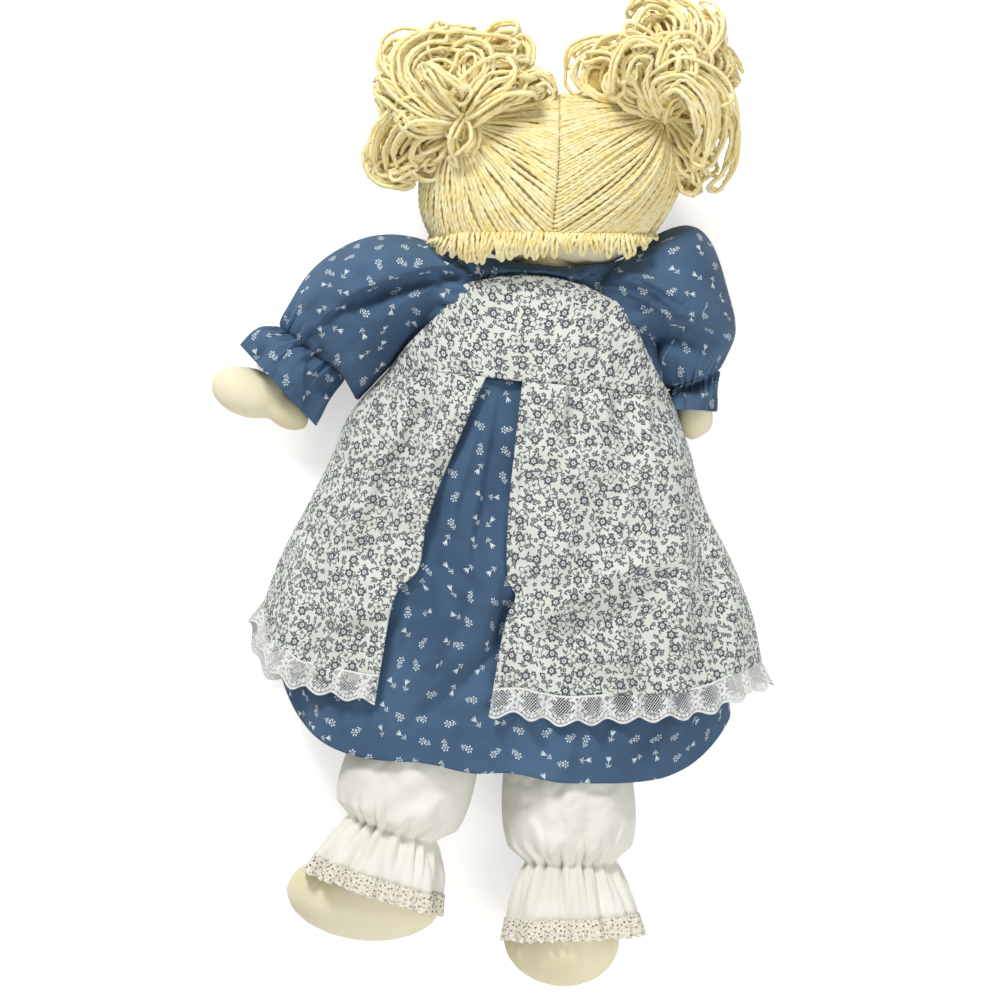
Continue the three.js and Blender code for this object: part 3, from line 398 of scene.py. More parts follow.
net_lace, tree = new_material("nylon_net_lace")
flat = flat_millimetres(tree)
at = add_node(tree, "SeparateXYZ", {0: flat})
window_x = repeated(tree, at.outputs[0], LACE_REPEAT)
scallop_turn = add_node(tree, "Math", {0: window_x, 1: TURN / LACE_REPEAT}, operation="MULTIPLY").outputs[0]
scallop_wave = add_node(tree, "Math", {0: scallop_turn}, operation="COSINE").outputs[0]
edge = add_node(tree, "Math", {0: scallop_wave, 1: LACE_WAVE, 2: LACE_EDGE}, operation="MULTIPLY_ADD").outputs[0]
above_edge = add_node(tree, "Math", {0: edge, 1: at.outputs[1]}, operation="ADD").outputs[0]
kept = over(tree, above_edge, 0.0, 0.15)
border = clear_of(tree, kept, over(tree, above_edge, 1.3, 1.6))
bead_x = repeated(tree, at.outputs[0], BEAD_REPEAT)
bead_y = add_node(tree, "Math", {0: above_edge, 1: -BEAD_LEVEL}, operation="ADD").outputs[0]
bead_place = add_node(tree, "CombineXYZ", {0: bead_x, 1: bead_y}).outputs[0]
beads = oval(tree, bead_place, (0, 0), (1.0, 1.0), 0, 0.2)
window_place = add_node(tree, "CombineXYZ", {0: window_x, 1: at.outputs[1]}).outputs[0]
to_window = {0: window_place, 1: (0, WINDOW_LEVEL, 0)}
window = petals(tree, add_node(tree, "VectorMath", to_window, operation="ADD").outputs[0], 9, 4.6, 0.5, 0.25)
spray_x = repeated(tree, at.outputs[0], LACE_REPEAT, 0.5)
spray_place = add_node(tree, "CombineXYZ", {0: spray_x, 1: at.outputs[1]}).outputs[0]
flower_place = add_node(tree, "VectorMath", {0: spray_place, 1: (0, SPRAY_LEVEL, 0)}, operation="ADD").outputs[0]
lace_flower, its_middle = (petals(tree, flower_place, 6, *sizes, 0.2) for sizes in ((3.0, 1.0), (0.9, 0.3)))
spray = most(tree, clear_of(tree, lace_flower, its_middle), ovals(tree, spray_place, SPRAY_LEAVES))
diagonal = add_node(tree, "Mapping", {"Vector": flat, "Rotation": (0, 0, NET_LEAN)}).outputs[0]
threads = add_node(tree, "SeparateXYZ", {0: diagonal})
lines = []
for side, width in NET_THREADS:
    turn = add_node(tree, "Math", {0: threads.outputs[side], 1: math.pi / NET_HOLE}, operation="MULTIPLY")
    swing = add_node(tree, "Math", {0: turn.outputs[0]}, operation="SINE")
    size = add_node(tree, "Math", {0: swing.outputs[0]}, operation="ABSOLUTE")
    lines.append(add_node(tree, "MapRange", {0: size.outputs[0], 1: width, 2: width - 0.2}).outputs[0])
net = most(tree, *lines)
header = over(tree, at.outputs[1], -1.1, -0.9)
worked_noise = add_node(tree, "TexNoise", {"Vector": flat, "Scale": 0.62, "Detail": 2.0})
worked = clear_of(tree, over(tree, worked_noise.outputs[0], 0.5, 0.56), window)
solid = most(tree, border, beads, spray, header, clear_of(tree, worked, over(tree, at.outputs[1], -12.5, -13.2)))
lace_thread = most(tree, solid, net)
lace_mask = add_node(tree, "Math", {0: lace_thread, 1: kept}, operation="MULTIPLY").outputs[0]
bump = add_node(tree, "Bump", {"Strength": 0.6, "Distance": 0.4 * MM, "Height": lace_mask})
cloth_shader(tree, linear("#e4e6e2"), bump.outputs[0], alpha=lace_mask)
print(net_lace.name, "nodes:", len(tree.nodes))

crochet_lace, tree = new_material("beige_crochet_lace")
flat = flat_millimetres(tree)
loops, _ = motif_places(tree, flat, 3.1, 0.75, 5)
loop_far = add_node(tree, "VectorMath", {0: loops}, operation="LENGTH").outputs["Value"]
knots, _ = motif_places(tree, flat, 1.9, 0.9, 23)
knot_far = add_node(tree, "VectorMath", {0: knots}, operation="LENGTH").outputs["Value"]
thread = add_node(tree, "Math", {0: over(tree, loop_far, 0.4, 0.65), 1: over(tree, knot_far, 0.05, 0.2)},
                  operation="MULTIPLY").outputs[0]
# Painted shade: the crochet is darker where the noise that sets its bump is lower.
depth = add_node(tree, "TexNoise", {"Vector": flat, "Scale": 0.9, "Detail": 3.0}).outputs[0]
shade = {"Factor": over(tree, depth, 0.38, 0.6), "A": linear("#d0c9b0"), "B": linear("#f6f2e6")}
shaded = add_node(tree, "Mix", shade, data_type="RGBA").outputs["Result"]
height = add_node(tree, "Math", {0: thread, 1: depth}, operation="ADD").outputs[0]
bump = add_node(tree, "Bump", {"Strength": 0.7, "Distance": 0.8 * MM, "Height": height})
cloth_shader(tree, shaded, bump.outputs[0], alpha=thread)
print(crochet_lace.name, "nodes:", len(tree.nodes))

# %% [markdown]
# ## Laying a flat cloth in its place
# A garment piece starts as a flat grid of small squares. Its own flat place goes into a UV
# map, in metres, measured along the cloth once it is laid, so nothing in the weave or the
# print stretches. A tube is the same grid with its two edges sewn together. Folds are drawn
# along the lines where the cloth really breaks: a gentle side, and a sharp side
# where it turns under.

# %% Places seen in the picture
PICTURE_MIDDLE = (532, 400)
PICTURE_STEP = 0.55
PICTURE_TURN = CAMERA_TURN
PICTURE_DROP = 38


def from_picture(px, py, z):
    """A place seen in the picture, in the doll's own millimetres."""
    u, v = (px - PICTURE_MIDDLE[0]) * PICTURE_STEP, (PICTURE_MIDDLE[1] - py) * PICTURE_STEP
    c, s = math.cos(PICTURE_TURN), math.sin(PICTURE_TURN)
    return np.array([u * c - v * s, u * s + v * c - PICTURE_DROP, z])


print("upper left corner of the picture:", [round(float(v)) for v in from_picture(0, 0, 0)[:2]])

# %% Helpers for cloth
def along(marks, share, column=1):
    """A smooth line through the marks of a pattern, read at each share of its length."""
    marks = np.array(marks, float)
    x, y = marks[:, 0], marks[:, column]
    low, high = np.maximum(np.arange(len(x)) - 1, 0), np.minimum(np.arange(len(x)) + 1, len(x) - 1)
    slope = (y[high] - y[low]) / (x[high] - x[low])
    share = np.asarray(share, float)
    i = np.clip(np.searchsorted(x, share, side="left") - 1, 0, len(x) - 2)
    span = x[i + 1] - x[i]
    t = np.clip((share - x[i]) / span, 0, 1)
    rise = t * t * (3 - 2 * t)
    lead = t * (1 - t) ** 2 * span * slope[i]
    tail = t * t * (1 - t) * span * slope[i + 1]
    return y[i] + (y[i + 1] - y[i]) * rise + lead - tail


def smooth(x, low, high):
    """Rises softly from 0 at low to 1 at high."""
    t = np.clip((np.asarray(x, float) - low) / (high - low), 0, 1)
    return t * t * (3 - 2 * t)


def crease(x, y, line, height, left, right):
    """Height of one fold along a line of places, in millimetres. Left and right are how wide
    its two sides are, seen along the line; the fold dies out at both ends."""
    line = np.array(line, float)
    spot = np.stack([x, y], 1)
    lengths = np.linalg.norm(np.diff(line, axis=0), axis=1)
    nearest, width, share = np.full(len(x), np.inf), np.full(len(x), right), np.zeros(len(x))
    for k, (start, end) in enumerate(zip(line[:-1], line[1:])):
        run = end - start
        t = np.clip((spot - start) @ run / (run @ run), 0, 1)
        gap = spot - (start + t[:, None] * run)
        far = np.linalg.norm(gap, axis=1)
        closer = far < nearest
        nearest = np.where(closer, far, nearest)
        side = run[0] * gap[:, 1] - run[1] * gap[:, 0]
        width = np.where(closer, np.where(side > 0, left, right), width)
        share = np.where(closer, (lengths[:k].sum() + t * lengths[k]) / lengths.sum(), share)
    return height * np.sin(np.pi * np.clip(share, 0.04, 0.96)) ** 0.7 * np.exp(-((nearest / width) ** 2))


def creases(x, y, table):
    """All folds of a piece together."""
    return sum((crease(x, y, *row) for row in table), np.zeros(len(x)))


def rumple(x, y, size, height, seed):
    """Soft unevenness of cloth that has been handled, about one size across."""
    draw = random.Random(seed)
    total = np.zeros(len(x))
    waves = 9
    for _ in range(waves):
        heading, phase = draw.uniform(0, TURN), draw.uniform(0, TURN)
        length = size * draw.uniform(0.6, 1.9)
        bend_length, bend_phase = length * draw.uniform(1.5, 3), draw.uniform(0, TURN)
        forward = x * math.cos(heading) + y * math.sin(heading)
        sideways = y * math.cos(heading) - x * math.sin(heading)
        bent = forward + 0.35 * length * np.sin(sideways * TURN / bend_length + bend_phase)
        total += np.sin(bent * TURN / length + phase)
    return height * total / math.sqrt(waves)


UPPER_COLUMNS_SHARE = 0.74


def laid_cloth(name, columns, rows, place, finish, thickness, closed=False, strip=False, level=False):
    """Lays a grid of columns and rows with place(across, down), which gives millimetres.
    The print of a strip, such as lace, runs along it and isn't sheared by its ripples. The
    print of a closed piece is laid out from its ridge, and that of a level one from its edges."""
    bm = bmesh.new()
    cut = bm.loops.layers.uv.new("cut")
    bmesh.ops.create_grid(bm, x_segments=columns, y_segments=rows, size=0.5)
    bm.verts.index_update()
    grid = np.array([v.co for v in bm.verts]) + 0.5
    across, down = np.round(grid[:, 0] * columns), np.round((1 - grid[:, 1]) * rows)
    laid = place(across / columns, down / rows) * MM
    order = np.lexsort((across, down))
    net = laid[order].reshape(rows + 1, columns + 1, 3)
    run = np.zeros((rows + 1, columns + 1))
    run[:, 1:] = np.cumsum(np.linalg.norm(np.diff(net, axis=1), axis=2), axis=1)
    ridge = round(columns * (UPPER_COLUMNS_SHARE / 2 if closed else 0.5))
    run -= run[:, ridge:ridge + 1]
    fall = np.zeros((rows + 1, columns + 1))
    fall[1:] = np.cumsum(np.linalg.norm(np.diff(net, axis=0), axis=2), axis=0)
    size = (run[:, -1] - run[:, 0]).mean(), fall[-1].mean()
    if strip:
        run = np.tile(run.mean(axis=0), (rows + 1, 1))
        fall = np.tile(fall.mean(axis=1)[:, None], (1, columns + 1))
    elif closed:
        heading = (net[:, 2 * ridge] - net[:, 0])[:, :2]
        heading /= np.linalg.norm(heading, axis=1)[:, None]
        lie = net[:, ridge, None, :2] + heading[:, None, :] * run[:, :, None]
        run, fall = lie[:, :, 0], -lie[:, :, 1]
    elif level:
        fall = -net[:, :, 1]
        first = run - run[:, :1] + net[:, :1, 0]
        last = run - run[:, -1:] + net[:, -1:, 0]
        run = np.where(np.arange(columns + 1) < columns // 2, first, last)
    flat = np.zeros((len(grid), 2))
    flat[order, 0], flat[order, 1] = run.ravel(), -fall.ravel()
    for vertex, spot in zip(bm.verts, laid):
        vertex.co = spot
    for face in bm.faces:
        face.smooth = True
        for loop in face.loops:
            loop[cut].uv = flat[loop.vert.index]
    if closed:
        bmesh.ops.remove_doubles(bm, verts=bm.verts, dist=0.01 * MM)
    bmesh.ops.recalc_face_normals(bm, faces=bm.faces)
    piece = in_scene(name, mesh_of(name, bm))
    piece.data.materials.append(finish)
    wall = piece.modifiers.new("thickness", "SOLIDIFY")
    wall.thickness, wall.offset = thickness * MM, -1
    print(name, "flat:", [round(float(s), 3) for s in size], "faces:", columns * rows)
    return piece, size


def places(x, y, z):
    """Three lists of coordinates as one table of places."""
    return np.stack([x, y, z], 1)


def upper_side(angle):
    """How much of the folds a place gets: none below the piece and at its sides, all on top."""
    return np.clip(np.sin(angle), 0, 1) ** 0.5


def side_marks(left, right, down, cosine):
    """Half-width and height along the doll on the side where each place lies."""
    return [np.where(cosine < 0, along(left, down, k), along(right, down, k)) for k in (1, 2)]


# %% [markdown]
# ## The dress skirt
# On the real doll this is one wide tube of calico, gathered into a waist seam. It lies over
# the legs, slopes down to the table at both sides, and its hem rises at the sides. The
# half-widths and heights are those of the body under it; the folds are drawn from their
# own table. Every fold there is the line it follows, its height and its two sides' widths.

# %% Dress skirt
BODY_LEVEL = 35
DRESS_TOP = 20.8
WAIST = -29.2
ROBE_LENGTH = 263.8
ROBE_TOP, HEM_TOP = 65.8, 67
TUCK_AT_SHOULDER, TUCK_AT_HEM = 1.3, 0.6
# Share of the robe's length, then how high its top and the middle level are there.
ROBE = [[0, .98, 1], [.06, 1, 1], [.12, 1.01, .98], [.19, 1.02, .94], [.3, 1.055, .83],
        [.44, 1.05, .67], [.62, 1.01, .48], [.8, .99, .36], [1, .97, .3]]


def robe_height(y, angle, off):
    """Height of a layer of the dress or the pinafore over the table."""
    share = (DRESS_TOP - y) / ROBE_LENGTH
    level = BODY_LEVEL * along(ROBE, share, 2)
    top = (ROBE_TOP + (HEM_TOP - ROBE_TOP) * share) * along(ROBE, share, 1) - level + off
    sine = np.sin(angle)
    tuck = TUCK_AT_SHOULDER + (TUCK_AT_HEM - TUCK_AT_SHOULDER) * share
    under = -np.abs(sine) ** np.clip(tuck, 0.4, 2) * (level + off)
    return level + np.where(sine > 0, sine * top, under)


def round_body(down, angle, left, right, bottom, squareness):
    """Where a row of the skirt runs: level across the middle, and up to its side marks."""
    cosine = np.cos(angle)
    out = np.abs(cosine)
    side_x, side_y = side_marks(left, right, down, cosine)
    corner = np.where(cosine < 0, squareness[0], squareness[1])
    middle = WAIST + (bottom - WAIST) * down
    return side_x * out, middle + (side_y - middle) * out ** corner


HEM = -242.5
SKIRT_LEFT = [[0, -72, -29.2], [.25, -95, -75], [.5, -111, -122], [.75, -119, -165], [1, -122, -205]]
SKIRT_RIGHT = [[0, 71, -29.2], [.25, 92, -73], [.5, 109, -118], [.75, 121, -160], [1, 129, -199]]
WEDGE_FOLDS = [
    ([(-16, -31), (-20, -95), (-24, -150)], -2.2, 9, 2.4),
    ([(-24, -34), (-36, -100), (-38, -150)], 1.6, 3, 7),
    ([(-20, -128), (-22, -160), (-36, -196), (-60, -232)], 4.2, 15, 3),
    ([(-8, -130), (-12, -172), (-30, -208)], 3.4, 4, 9),
    ([(-44, -136), (-50, -170), (-60, -205)], -2.6, 7, 5),
    ([(-6, -168), (-20, -192), (-33, -208), (-48, -222)], -4.2, 3.5, 9),
    ([(-30, -124), (-18, -136), (-8, -140)], 1.8, 3, 5),
    ([(-34, -138), (-20, -150), (-10, -152)], 1.4, 3, 5),
    ([(-100, -205), (-94, -222), (-88, -240)], 2.6, 4, 8),
    ([(-60, -206), (-58, -224), (-58, -244)], 2.0, 7, 4),
    ([(-24, -214), (-26, -230), (-24, -246)], 1.4, 7, 9),
    ([(36, -208), (40, -226), (38, -244)], 2.2, 4, 9),
    ([(64, -208), (66, -226), (68, -244)], 1.6, 8, 5),
    ([(88, -204), (92, -220), (90, -240)], 2.8, 8, 3),
]


def turned(across):
    """Angle round the body for each column, with most columns on the side that shows."""
    upper = np.clip(across / UPPER_COLUMNS_SHARE, 0, 1)
    lower = np.clip((across - UPPER_COLUMNS_SHARE) / (1 - UPPER_COLUMNS_SHARE), 0, 1)
    return TURN / 2 * (upper + lower)


CLOTH_AIR = 1.55
FOLD_STRENGTH = 2.0
TUCKED_IN = 1.4
HEM_WAVE = 1.2


def dress_skirt_place(across, down):
    """The dress skirt. Where the pinafore hides it, it has no folds and lies a little lower."""
    angle = turned(across)
    x, y = round_body(down, angle, SKIRT_LEFT, SKIRT_RIGHT, HEM, (6.5, 6.5))
    upper = upper_side(angle)
    y = y + HEM_WAVE * smooth(down, 0.8, 1) * np.sin(x / 11 + 1.3 * np.sin(x / 27))
    soft = rumple(x, y, 46, 1.2, 4) + rumple(x, y, 17, 0.45, 5) * smooth(down, 0.05, 0.3)
    shown = smooth(x, -75, -55) * smooth(x, 16, -4)
    shown = np.maximum(shown, smooth(y, -190, -210))
    folds = FOLD_STRENGTH * creases(x, y, WEDGE_FOLDS) * shown - TUCKED_IN * (1 - shown)
    lowest = CLOTH_AIR + 0.25 * rumple(x, y, 30, 1, 6) + 0.3
    return places(x, y, np.maximum(robe_height(y, angle, 0) + upper * (soft + folds), lowest))


COTTON = 0.7
dress_skirt, size = laid_cloth("dress_skirt_cloth", 300, 140, dress_skirt_place, calico, COTTON, closed=True)
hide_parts("dress_skirt")
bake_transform(dress_skirt)

# %% [markdown]
# ## The pinafore
# The pinafore is a sleeveless overall, open down the back of its skirt: two panels part from
# a yoke and show the blue dress between them. Its hem carries a strip of net lace. The
# panels' inner edges are finished with a narrow turned hem, which stands a little proud.

# %% Pinafore skirt
PINAFORE_LEFT = [[0, -80, -29.2], [.2, -99, -56], [.4, -107.5, -83], [.6, -118, -110], [.8, -128.5, -136],
                 [1, -136, -163]]
PINAFORE_RIGHT = [[0, 76.5, -29.2], [.2, 90, -57], [.4, 101, -85], [.6, 119, -113], [.8, 134, -141],
                  [1, 143, -168]]
PINAFORE_HEM = -197
LEFT_EDGE = [[0, -26.3], [.12, -32.5], [.36, -44.8], [.5, -49.9], [.64, -51.8], [.7, -61], [.79, -64.6],
             [.88, -65.6], [1, -66.9]]
RIGHT_EDGE = [[0, -6.4], [.2, -6.7], [.49, -5.8], [.65, -2.3], [.69, 2.4], [.75, -.6], [.85, -2.7], [1, -4.3]]
PANEL_FOLDS = [
    ([(15, -14), (17, -34), (18, -60)], 3.2, 2, 6),
    ([(40, -12), (41, -34), (42, -56)], 3.2, 2, 7),
    ([(58, -20), (64, -44), (70, -66)], 2.4, 2.5, 6),
    ([(70, -34), (84, -60), (92, -110), (97, -160), (100, -190)], 5.0, 4, 15),
    ([(80, -56), (98, -100), (110, -140), (118, -176)], -2.6, 6, 4),
    ([(110, -96), (120, -130), (130, -170)], 3.0, 9, 5),
    ([(104, -98), (84, -112), (50, -130), (10, -160)], 4.6, 16, 4),
    ([(92, -118), (60, -140), (28, -172)], -2.4, 5, 9),
    ([(62, -66), (52, -110), (44, -150)], 1.8, 9, 5),
    ([(24, -66), (26, -110), (22, -170)], 1.8, 5, 10),
    ([(60, -146), (64, -170), (66, -200)], 2.6, 5, 10),
    ([(-49, -26), (-58, -58), (-68, -84), (-82, -124), (-93, -158)], -3.0, 6, 7),
    ([(-38, -30), (-46, -60), (-55, -90), (-62, -124)], 4.2, 7, 8),
    ([(-52, -8), (-64, -40), (-82, -88), (-98, -130), (-108, -160)], 4.6, 8, 11),
    ([(-78, -60), (-94, -100), (-108, -140)], -1.6, 6, 5),
    ([(-78, -130), (-86, -160), (-94, -196)], 2.8, 5, 12),
    ([(-110, -124), (-118, -156), (-120, -190)], 2.4, 8, 4),
    ([(-56, -150), (-76, -164), (-100, -170)], 1.8, 6, 9),
]
LAYER_AIR = 2.9
LEFT_PANEL_DROP = 6
EDGE_RISE, STITCH_DEPTH, STITCH_IN = 0.7, 0.5, 5.2
RIGHT_SHARE, UNDER_SHARE, LEFT_SHARE = 0.44, 0.26, 0.3


def panel_angles(across, down):
    """From the right-hand panel's inner edge round under the doll to the left-hand one's."""
    half_width = -along(PINAFORE_LEFT, down)
    cosines = (np.clip(along(edge, down) / half_width, -1, 1) for edge in (RIGHT_EDGE, LEFT_EDGE))
    right_edge, left_edge = (np.arccos(cosine) for cosine in cosines)
    right_part = np.clip(across / RIGHT_SHARE, 0, 1)
    under = np.clip((across - RIGHT_SHARE) / UNDER_SHARE, 0, 1)
    left_part = np.clip((across - RIGHT_SHARE - UNDER_SHARE) / LEFT_SHARE, 0, 1)
    return right_edge * (1 - right_part) - np.pi * under - (np.pi - left_edge) * left_part


def pinafore_edges(x, down):
    """The turned hem along both inner edges of the open back."""
    gap = np.minimum(np.abs(x - along(RIGHT_EDGE, down)), np.abs(x - along(LEFT_EDGE, down)))
    return EDGE_RISE * smooth(gap, 5.5, 3.5) - STITCH_DEPTH * np.exp(-((gap - STITCH_IN) / 0.8) ** 2)


def pinafore_line(down, angle):
    """Where a row of the pinafore runs. The left-hand panel hangs a little lower."""
    x, y = round_body(down, angle, PINAFORE_LEFT, PINAFORE_RIGHT, PINAFORE_HEM, (24, 3))
    lower = LEFT_PANEL_DROP * smooth(x, -45, -60) * smooth(x, -128, -110) * smooth(np.sin(angle), 0, 0.2)
    return x, y - lower * smooth(down, 0.5, 1) + 1.1 * smooth(down, 0.8, 1) * np.sin(x / 9 + np.sin(x / 23))


def pinafore_place(across, down):
    """The pinafore skirt, which always lies over the dress skirt."""
    angle = panel_angles(across, down)
    x, y = pinafore_line(down, angle)
    upper = upper_side(angle)
    soft = rumple(x, y, 52, 1.5, 14) + rumple(x, y, 20, 0.5, 15) * smooth(down, 0.02, 0.25)
    folds = FOLD_STRENGTH * creases(x, y, PANEL_FOLDS) + pinafore_edges(x, down)
    height = robe_height(y, angle, LAYER_AIR) + upper * (soft + folds + 1.2)
    below = robe_height(y, angle, 0) + upper * 0.6
    return places(x, y, np.maximum(np.maximum(height, np.where(np.sin(angle) > 0, below, 0)), 0.2))


pinafore_skirt, size = laid_cloth("pinafore_skirt_cloth", 300, 130, pinafore_place,
                                  pinafore_print, COTTON, level=True)
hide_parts("pinafore_skirt")
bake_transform(pinafore_skirt)

# %% [markdown]
# ## The lace at the pinafore's hem
# Machine-made net lace, sewn on slightly gathered, so that it ripples and its scalloped edge
# flares past the cotton. It follows the same line as the hem above it.

# %% Pinafore lace
LACE_DROP = 17.3
LACE_OVERLAP, LEFT_OVERLAP = 1.5, 8
LACE_RIPPLE = 2.4
LACE_LENGTH, WIDE_WAVE, NARROW_WAVE = 640, 23, 14
LACE_STEP_BACK, LACE_FLARE, LACE_STAND, LACE_THICKNESS = 0.97, 0.35, 2.4, 0.35
LEVEL_END = -215


def lace_place(across, down):
    """The lace, which starts on the pinafore's hem and runs on in the direction of the cloth."""
    hem = np.ones(len(across))
    angle = panel_angles(across, hem)
    x, y = pinafore_line(hem, angle)
    above_x, above_y = pinafore_line(hem * LACE_STEP_BACK, panel_angles(across, hem * LACE_STEP_BACK))
    step = np.stack([x - above_x, y - above_y], 1)
    step /= np.linalg.norm(step, axis=1)[:, None]
    out = np.stack([np.sign(x) * smooth(np.abs(np.cos(angle)), 0.75, 1.0), np.zeros(len(x))], 1)
    heading = step + LACE_FLARE * out
    heading /= np.linalg.norm(heading, axis=1)[:, None]
    run = across * LACE_LENGTH
    shown = smooth(np.sin(angle), 0, 0.2)
    reach = down * LACE_DROP - (LACE_OVERLAP + (LEFT_OVERLAP - LACE_OVERLAP) * smooth(x, -45, -60) * shown)
    x, y = x + heading[:, 0] * reach, y + heading[:, 1] * reach
    waves = np.sin(run * TURN / WIDE_WAVE) + 0.6 * np.sin(run * TURN / NARROW_WAVE + 1)
    ripple = LACE_RIPPLE * down ** 0.7 * waves
    height = robe_height(np.maximum(y, LEVEL_END), angle, LAYER_AIR) + upper_side(angle) * (LACE_STAND + ripple)
    return places(x, y, np.maximum(height, 0.4 + 0.4 * down))


pinafore_lace, size = laid_cloth("pinafore_lace_strip", 560, 14, lace_place, net_lace, LACE_THICKNESS,
                                 strip=True)
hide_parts("pinafore_lace")
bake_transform(pinafore_lace)

# %% [markdown]
# ## The two bodices
# Under the pinafore's yoke is the dress bodice, a short tube of calico. The yoke itself is
# a back and a front piece, cut away in a slant from the neck to the side seam so that the
# sleeves stay free, with a dart from the neck on the right.

# %% Dress bodice
BODICE_SIDE = [[0, 49, 33], [.25, 54, 22], [.6, 66, -2], [1, 73.5, -28.9]]
BODICE_DROP, NECK_TAPER = 0.6, 0.05


def dress_bodice_place(across, down):
    """The dress bodice, a tube that is a little narrower at the neck."""
    angle = turned(across)
    x, y = along(BODICE_SIDE, down, 1) * np.cos(angle), along(BODICE_SIDE, down, 2)
    height = robe_height(y, angle, 0) + upper_side(angle) * (rumple(x, y, 16, 0.5, 21) - BODICE_DROP)
    return places(x * (1 - NECK_TAPER * smooth(down, 0.3, 0)), y, np.maximum(height, CLOTH_AIR))


dress_bodice, size = laid_cloth("dress_bodice_cloth", 150, 34, dress_bodice_place, calico, COTTON, closed=True)
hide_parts("dress_bodice")
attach(dress_bodice, "torso")

# %% Pinafore yoke, back and front
YOKE_LEFT = [[0, -25, 25.5], [.2, -44, 19.5], [.42, -53, 6], [.75, -70, -14], [1, -80, -29.2]]
YOKE_RIGHT = [[0, 22, 25.5], [.2, 45, 17], [.4, 52.5, 6], [.75, 65, -14], [1, 76.5, -29.2]]
YOKE_TOP = [[0, 28.4], [.25, 13.5], [.6, -7], [1, -29.4]]
YOKE_WIDEST = ([-30, 29.2], [60, 80.5]), ([-30, 29.2], [62, 77])
YOKE_FOLDS = [
    ([(26, 14), (24, 4), (20, -12)], 1.4, 2, 4),
    ([(-8, 22), (-26, 4), (-40, -16)], 0.8, 6, 10),
    ([(40, 14), (52, -4), (60, -24)], 1.6, 5, 3),
    ([(-30, 10), (-48, -6), (-66, -22)], 1.5, 4, 5),
    ([(2, 6), (6, -14), (4, -28)], 0.8, 4, 8),
    ([(38, -8), (40, -20), (41, -30)], 1.5, 2.5, 5),
    ([(14, -8), (16, -18), (17, -30)], 1.5, 2.2, 5),
]


def yoke_place(across, down, side):
    """One piece of the yoke: side is 1 for the back, which shows, and -1 for the front."""
    left_x, right_x = along(YOKE_LEFT, down, 1), along(YOKE_RIGHT, down, 1)
    left_y, right_y = along(YOKE_LEFT, down, 2), along(YOKE_RIGHT, down, 2)
    x = left_x + (right_x - left_x) * across
    bow = 4 * across * (1 - across)
    chord = left_y + (right_y - left_y) * across
    y = chord + (along(YOKE_TOP, down) - chord) * bow
    widest = np.where(x < 0, np.interp(-y, *YOKE_WIDEST[0]), np.interp(-y, *YOKE_WIDEST[1]))
    angle = np.arccos(np.clip(x / widest, -1, 1))
    inner = rumple(x, y, 30, 0.5, 31) + rumple(x, y, 14, 0.25, 32)
    height = robe_height(y, side * angle, LAYER_AIR)
    if side > 0:
        hem = 0.5 * smooth(np.minimum(across, 1 - across), 0.05, 0.035)
        height = height + np.sin(angle) ** 0.5 * (inner + creases(x, y, YOKE_FOLDS) + hem + 1.0)
    return places(x, y, np.maximum(height, 0.2))


def join_pieces(first, second, finish=0):
    """Adds the second piece to the first one's mesh, where it gets the finish of this number."""
    bm = bmesh.new()
    bm.from_mesh(first.data)
    count = len(bm.faces)
    bm.from_mesh(second.data)
    bm.faces.ensure_lookup_table()
    for face in bm.faces[count:]:
        face.material_index = finish
    bm.to_mesh(first.data)
    bm.free()
    spare = second.data
    bpy.data.objects.remove(second)
    bpy.data.meshes.remove(spare)


yoke, size = laid_cloth("pinafore_yoke_cloth", 130, 56, lambda a, d: yoke_place(a, d, 1),
                        pinafore_print, COTTON)
bib, bib_size = laid_cloth("pinafore_bib_cloth", 90, 30, lambda a, d: yoke_place(a, d, -1),
                           pinafore_print, COTTON)
join_pieces(yoke, bib)
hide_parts("pinafore_bodice")
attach(yoke, "torso")

# %% [markdown]
# ## Puffed sleeves
# A puffed sleeve is a wide tube, gathered into the armhole and again by a narrow elastic
# above the wrist, with a frill left below it. Face down on a table the puff falls flat and
# folds over itself, so each sleeve gets its own folds. The elastic's gathers are
# many small pleats that fade away from it on both sides.

# %% Sleeve outlines
SHOULDER_X, SHOULDER_Y, REACH = 55.06, 14, 100
SLEEVE_DEPTH, SLEEVE_HEIGHT = 30, 33
SIDES = {"left": -1, "right": 1}
# Share of the length, then the inner edge's place, the outer edge's place, the depth and the height.
SLEEVES = {
    "left": [[-.2, -.33, -.1, -.26, .12, .5, 1.44], [-.1, -.22, -.16, -.17, .16, .68, 1.25],
             [0, -.07, -.2, -.05, .2, .84, 1.1], [.16, .1, -.25, .12, .29, .95, .96],
             [.34, .27, -.45, .36, .3, 1, .94], [.5, .37, -.58, .58, .21, .92, .86],
             [.62, .42, -.615, .765, .03, .78, .7], [.72, .48, -.5, .88, -.24, .56, .56],
             [.76, .5, -.505, .89, -.265, .54, .53], [.84, .555, -.62, .99, -.28, .62, .52],
             [1, .63, -.78, 1.075, -.4, .68, .52]],
    "right": [[-.2, -.33, -.1, -.24, .16, .5, 1.44], [-.1, -.22, -.16, -.14, .3, .68, 1.26],
              [0, -.07, -.2, .02, .44, .84, 1.08], [.16, .04, -.16, .2, .53, .95, .96],
              [.34, .1, -.16, .34, .45, 1, .94], [.5, .1, -.27, .46, .2, .92, .86],
              [.62, .14, -.34, .53, -.03, .78, .7], [.72, .2, -.37, .46, -.23, .56, .56],
              [.76, .2, -.385, .455, -.25, .54, .53], [.84, .2, -.43, .458, -.34, .64, .58],
              [1, .2, -.49, .45, -.47, .7, .64]],
}
SLEEVE_START = -0.2
CUFF_GATHER, CUFF_WAIST = 0.74, 2.2
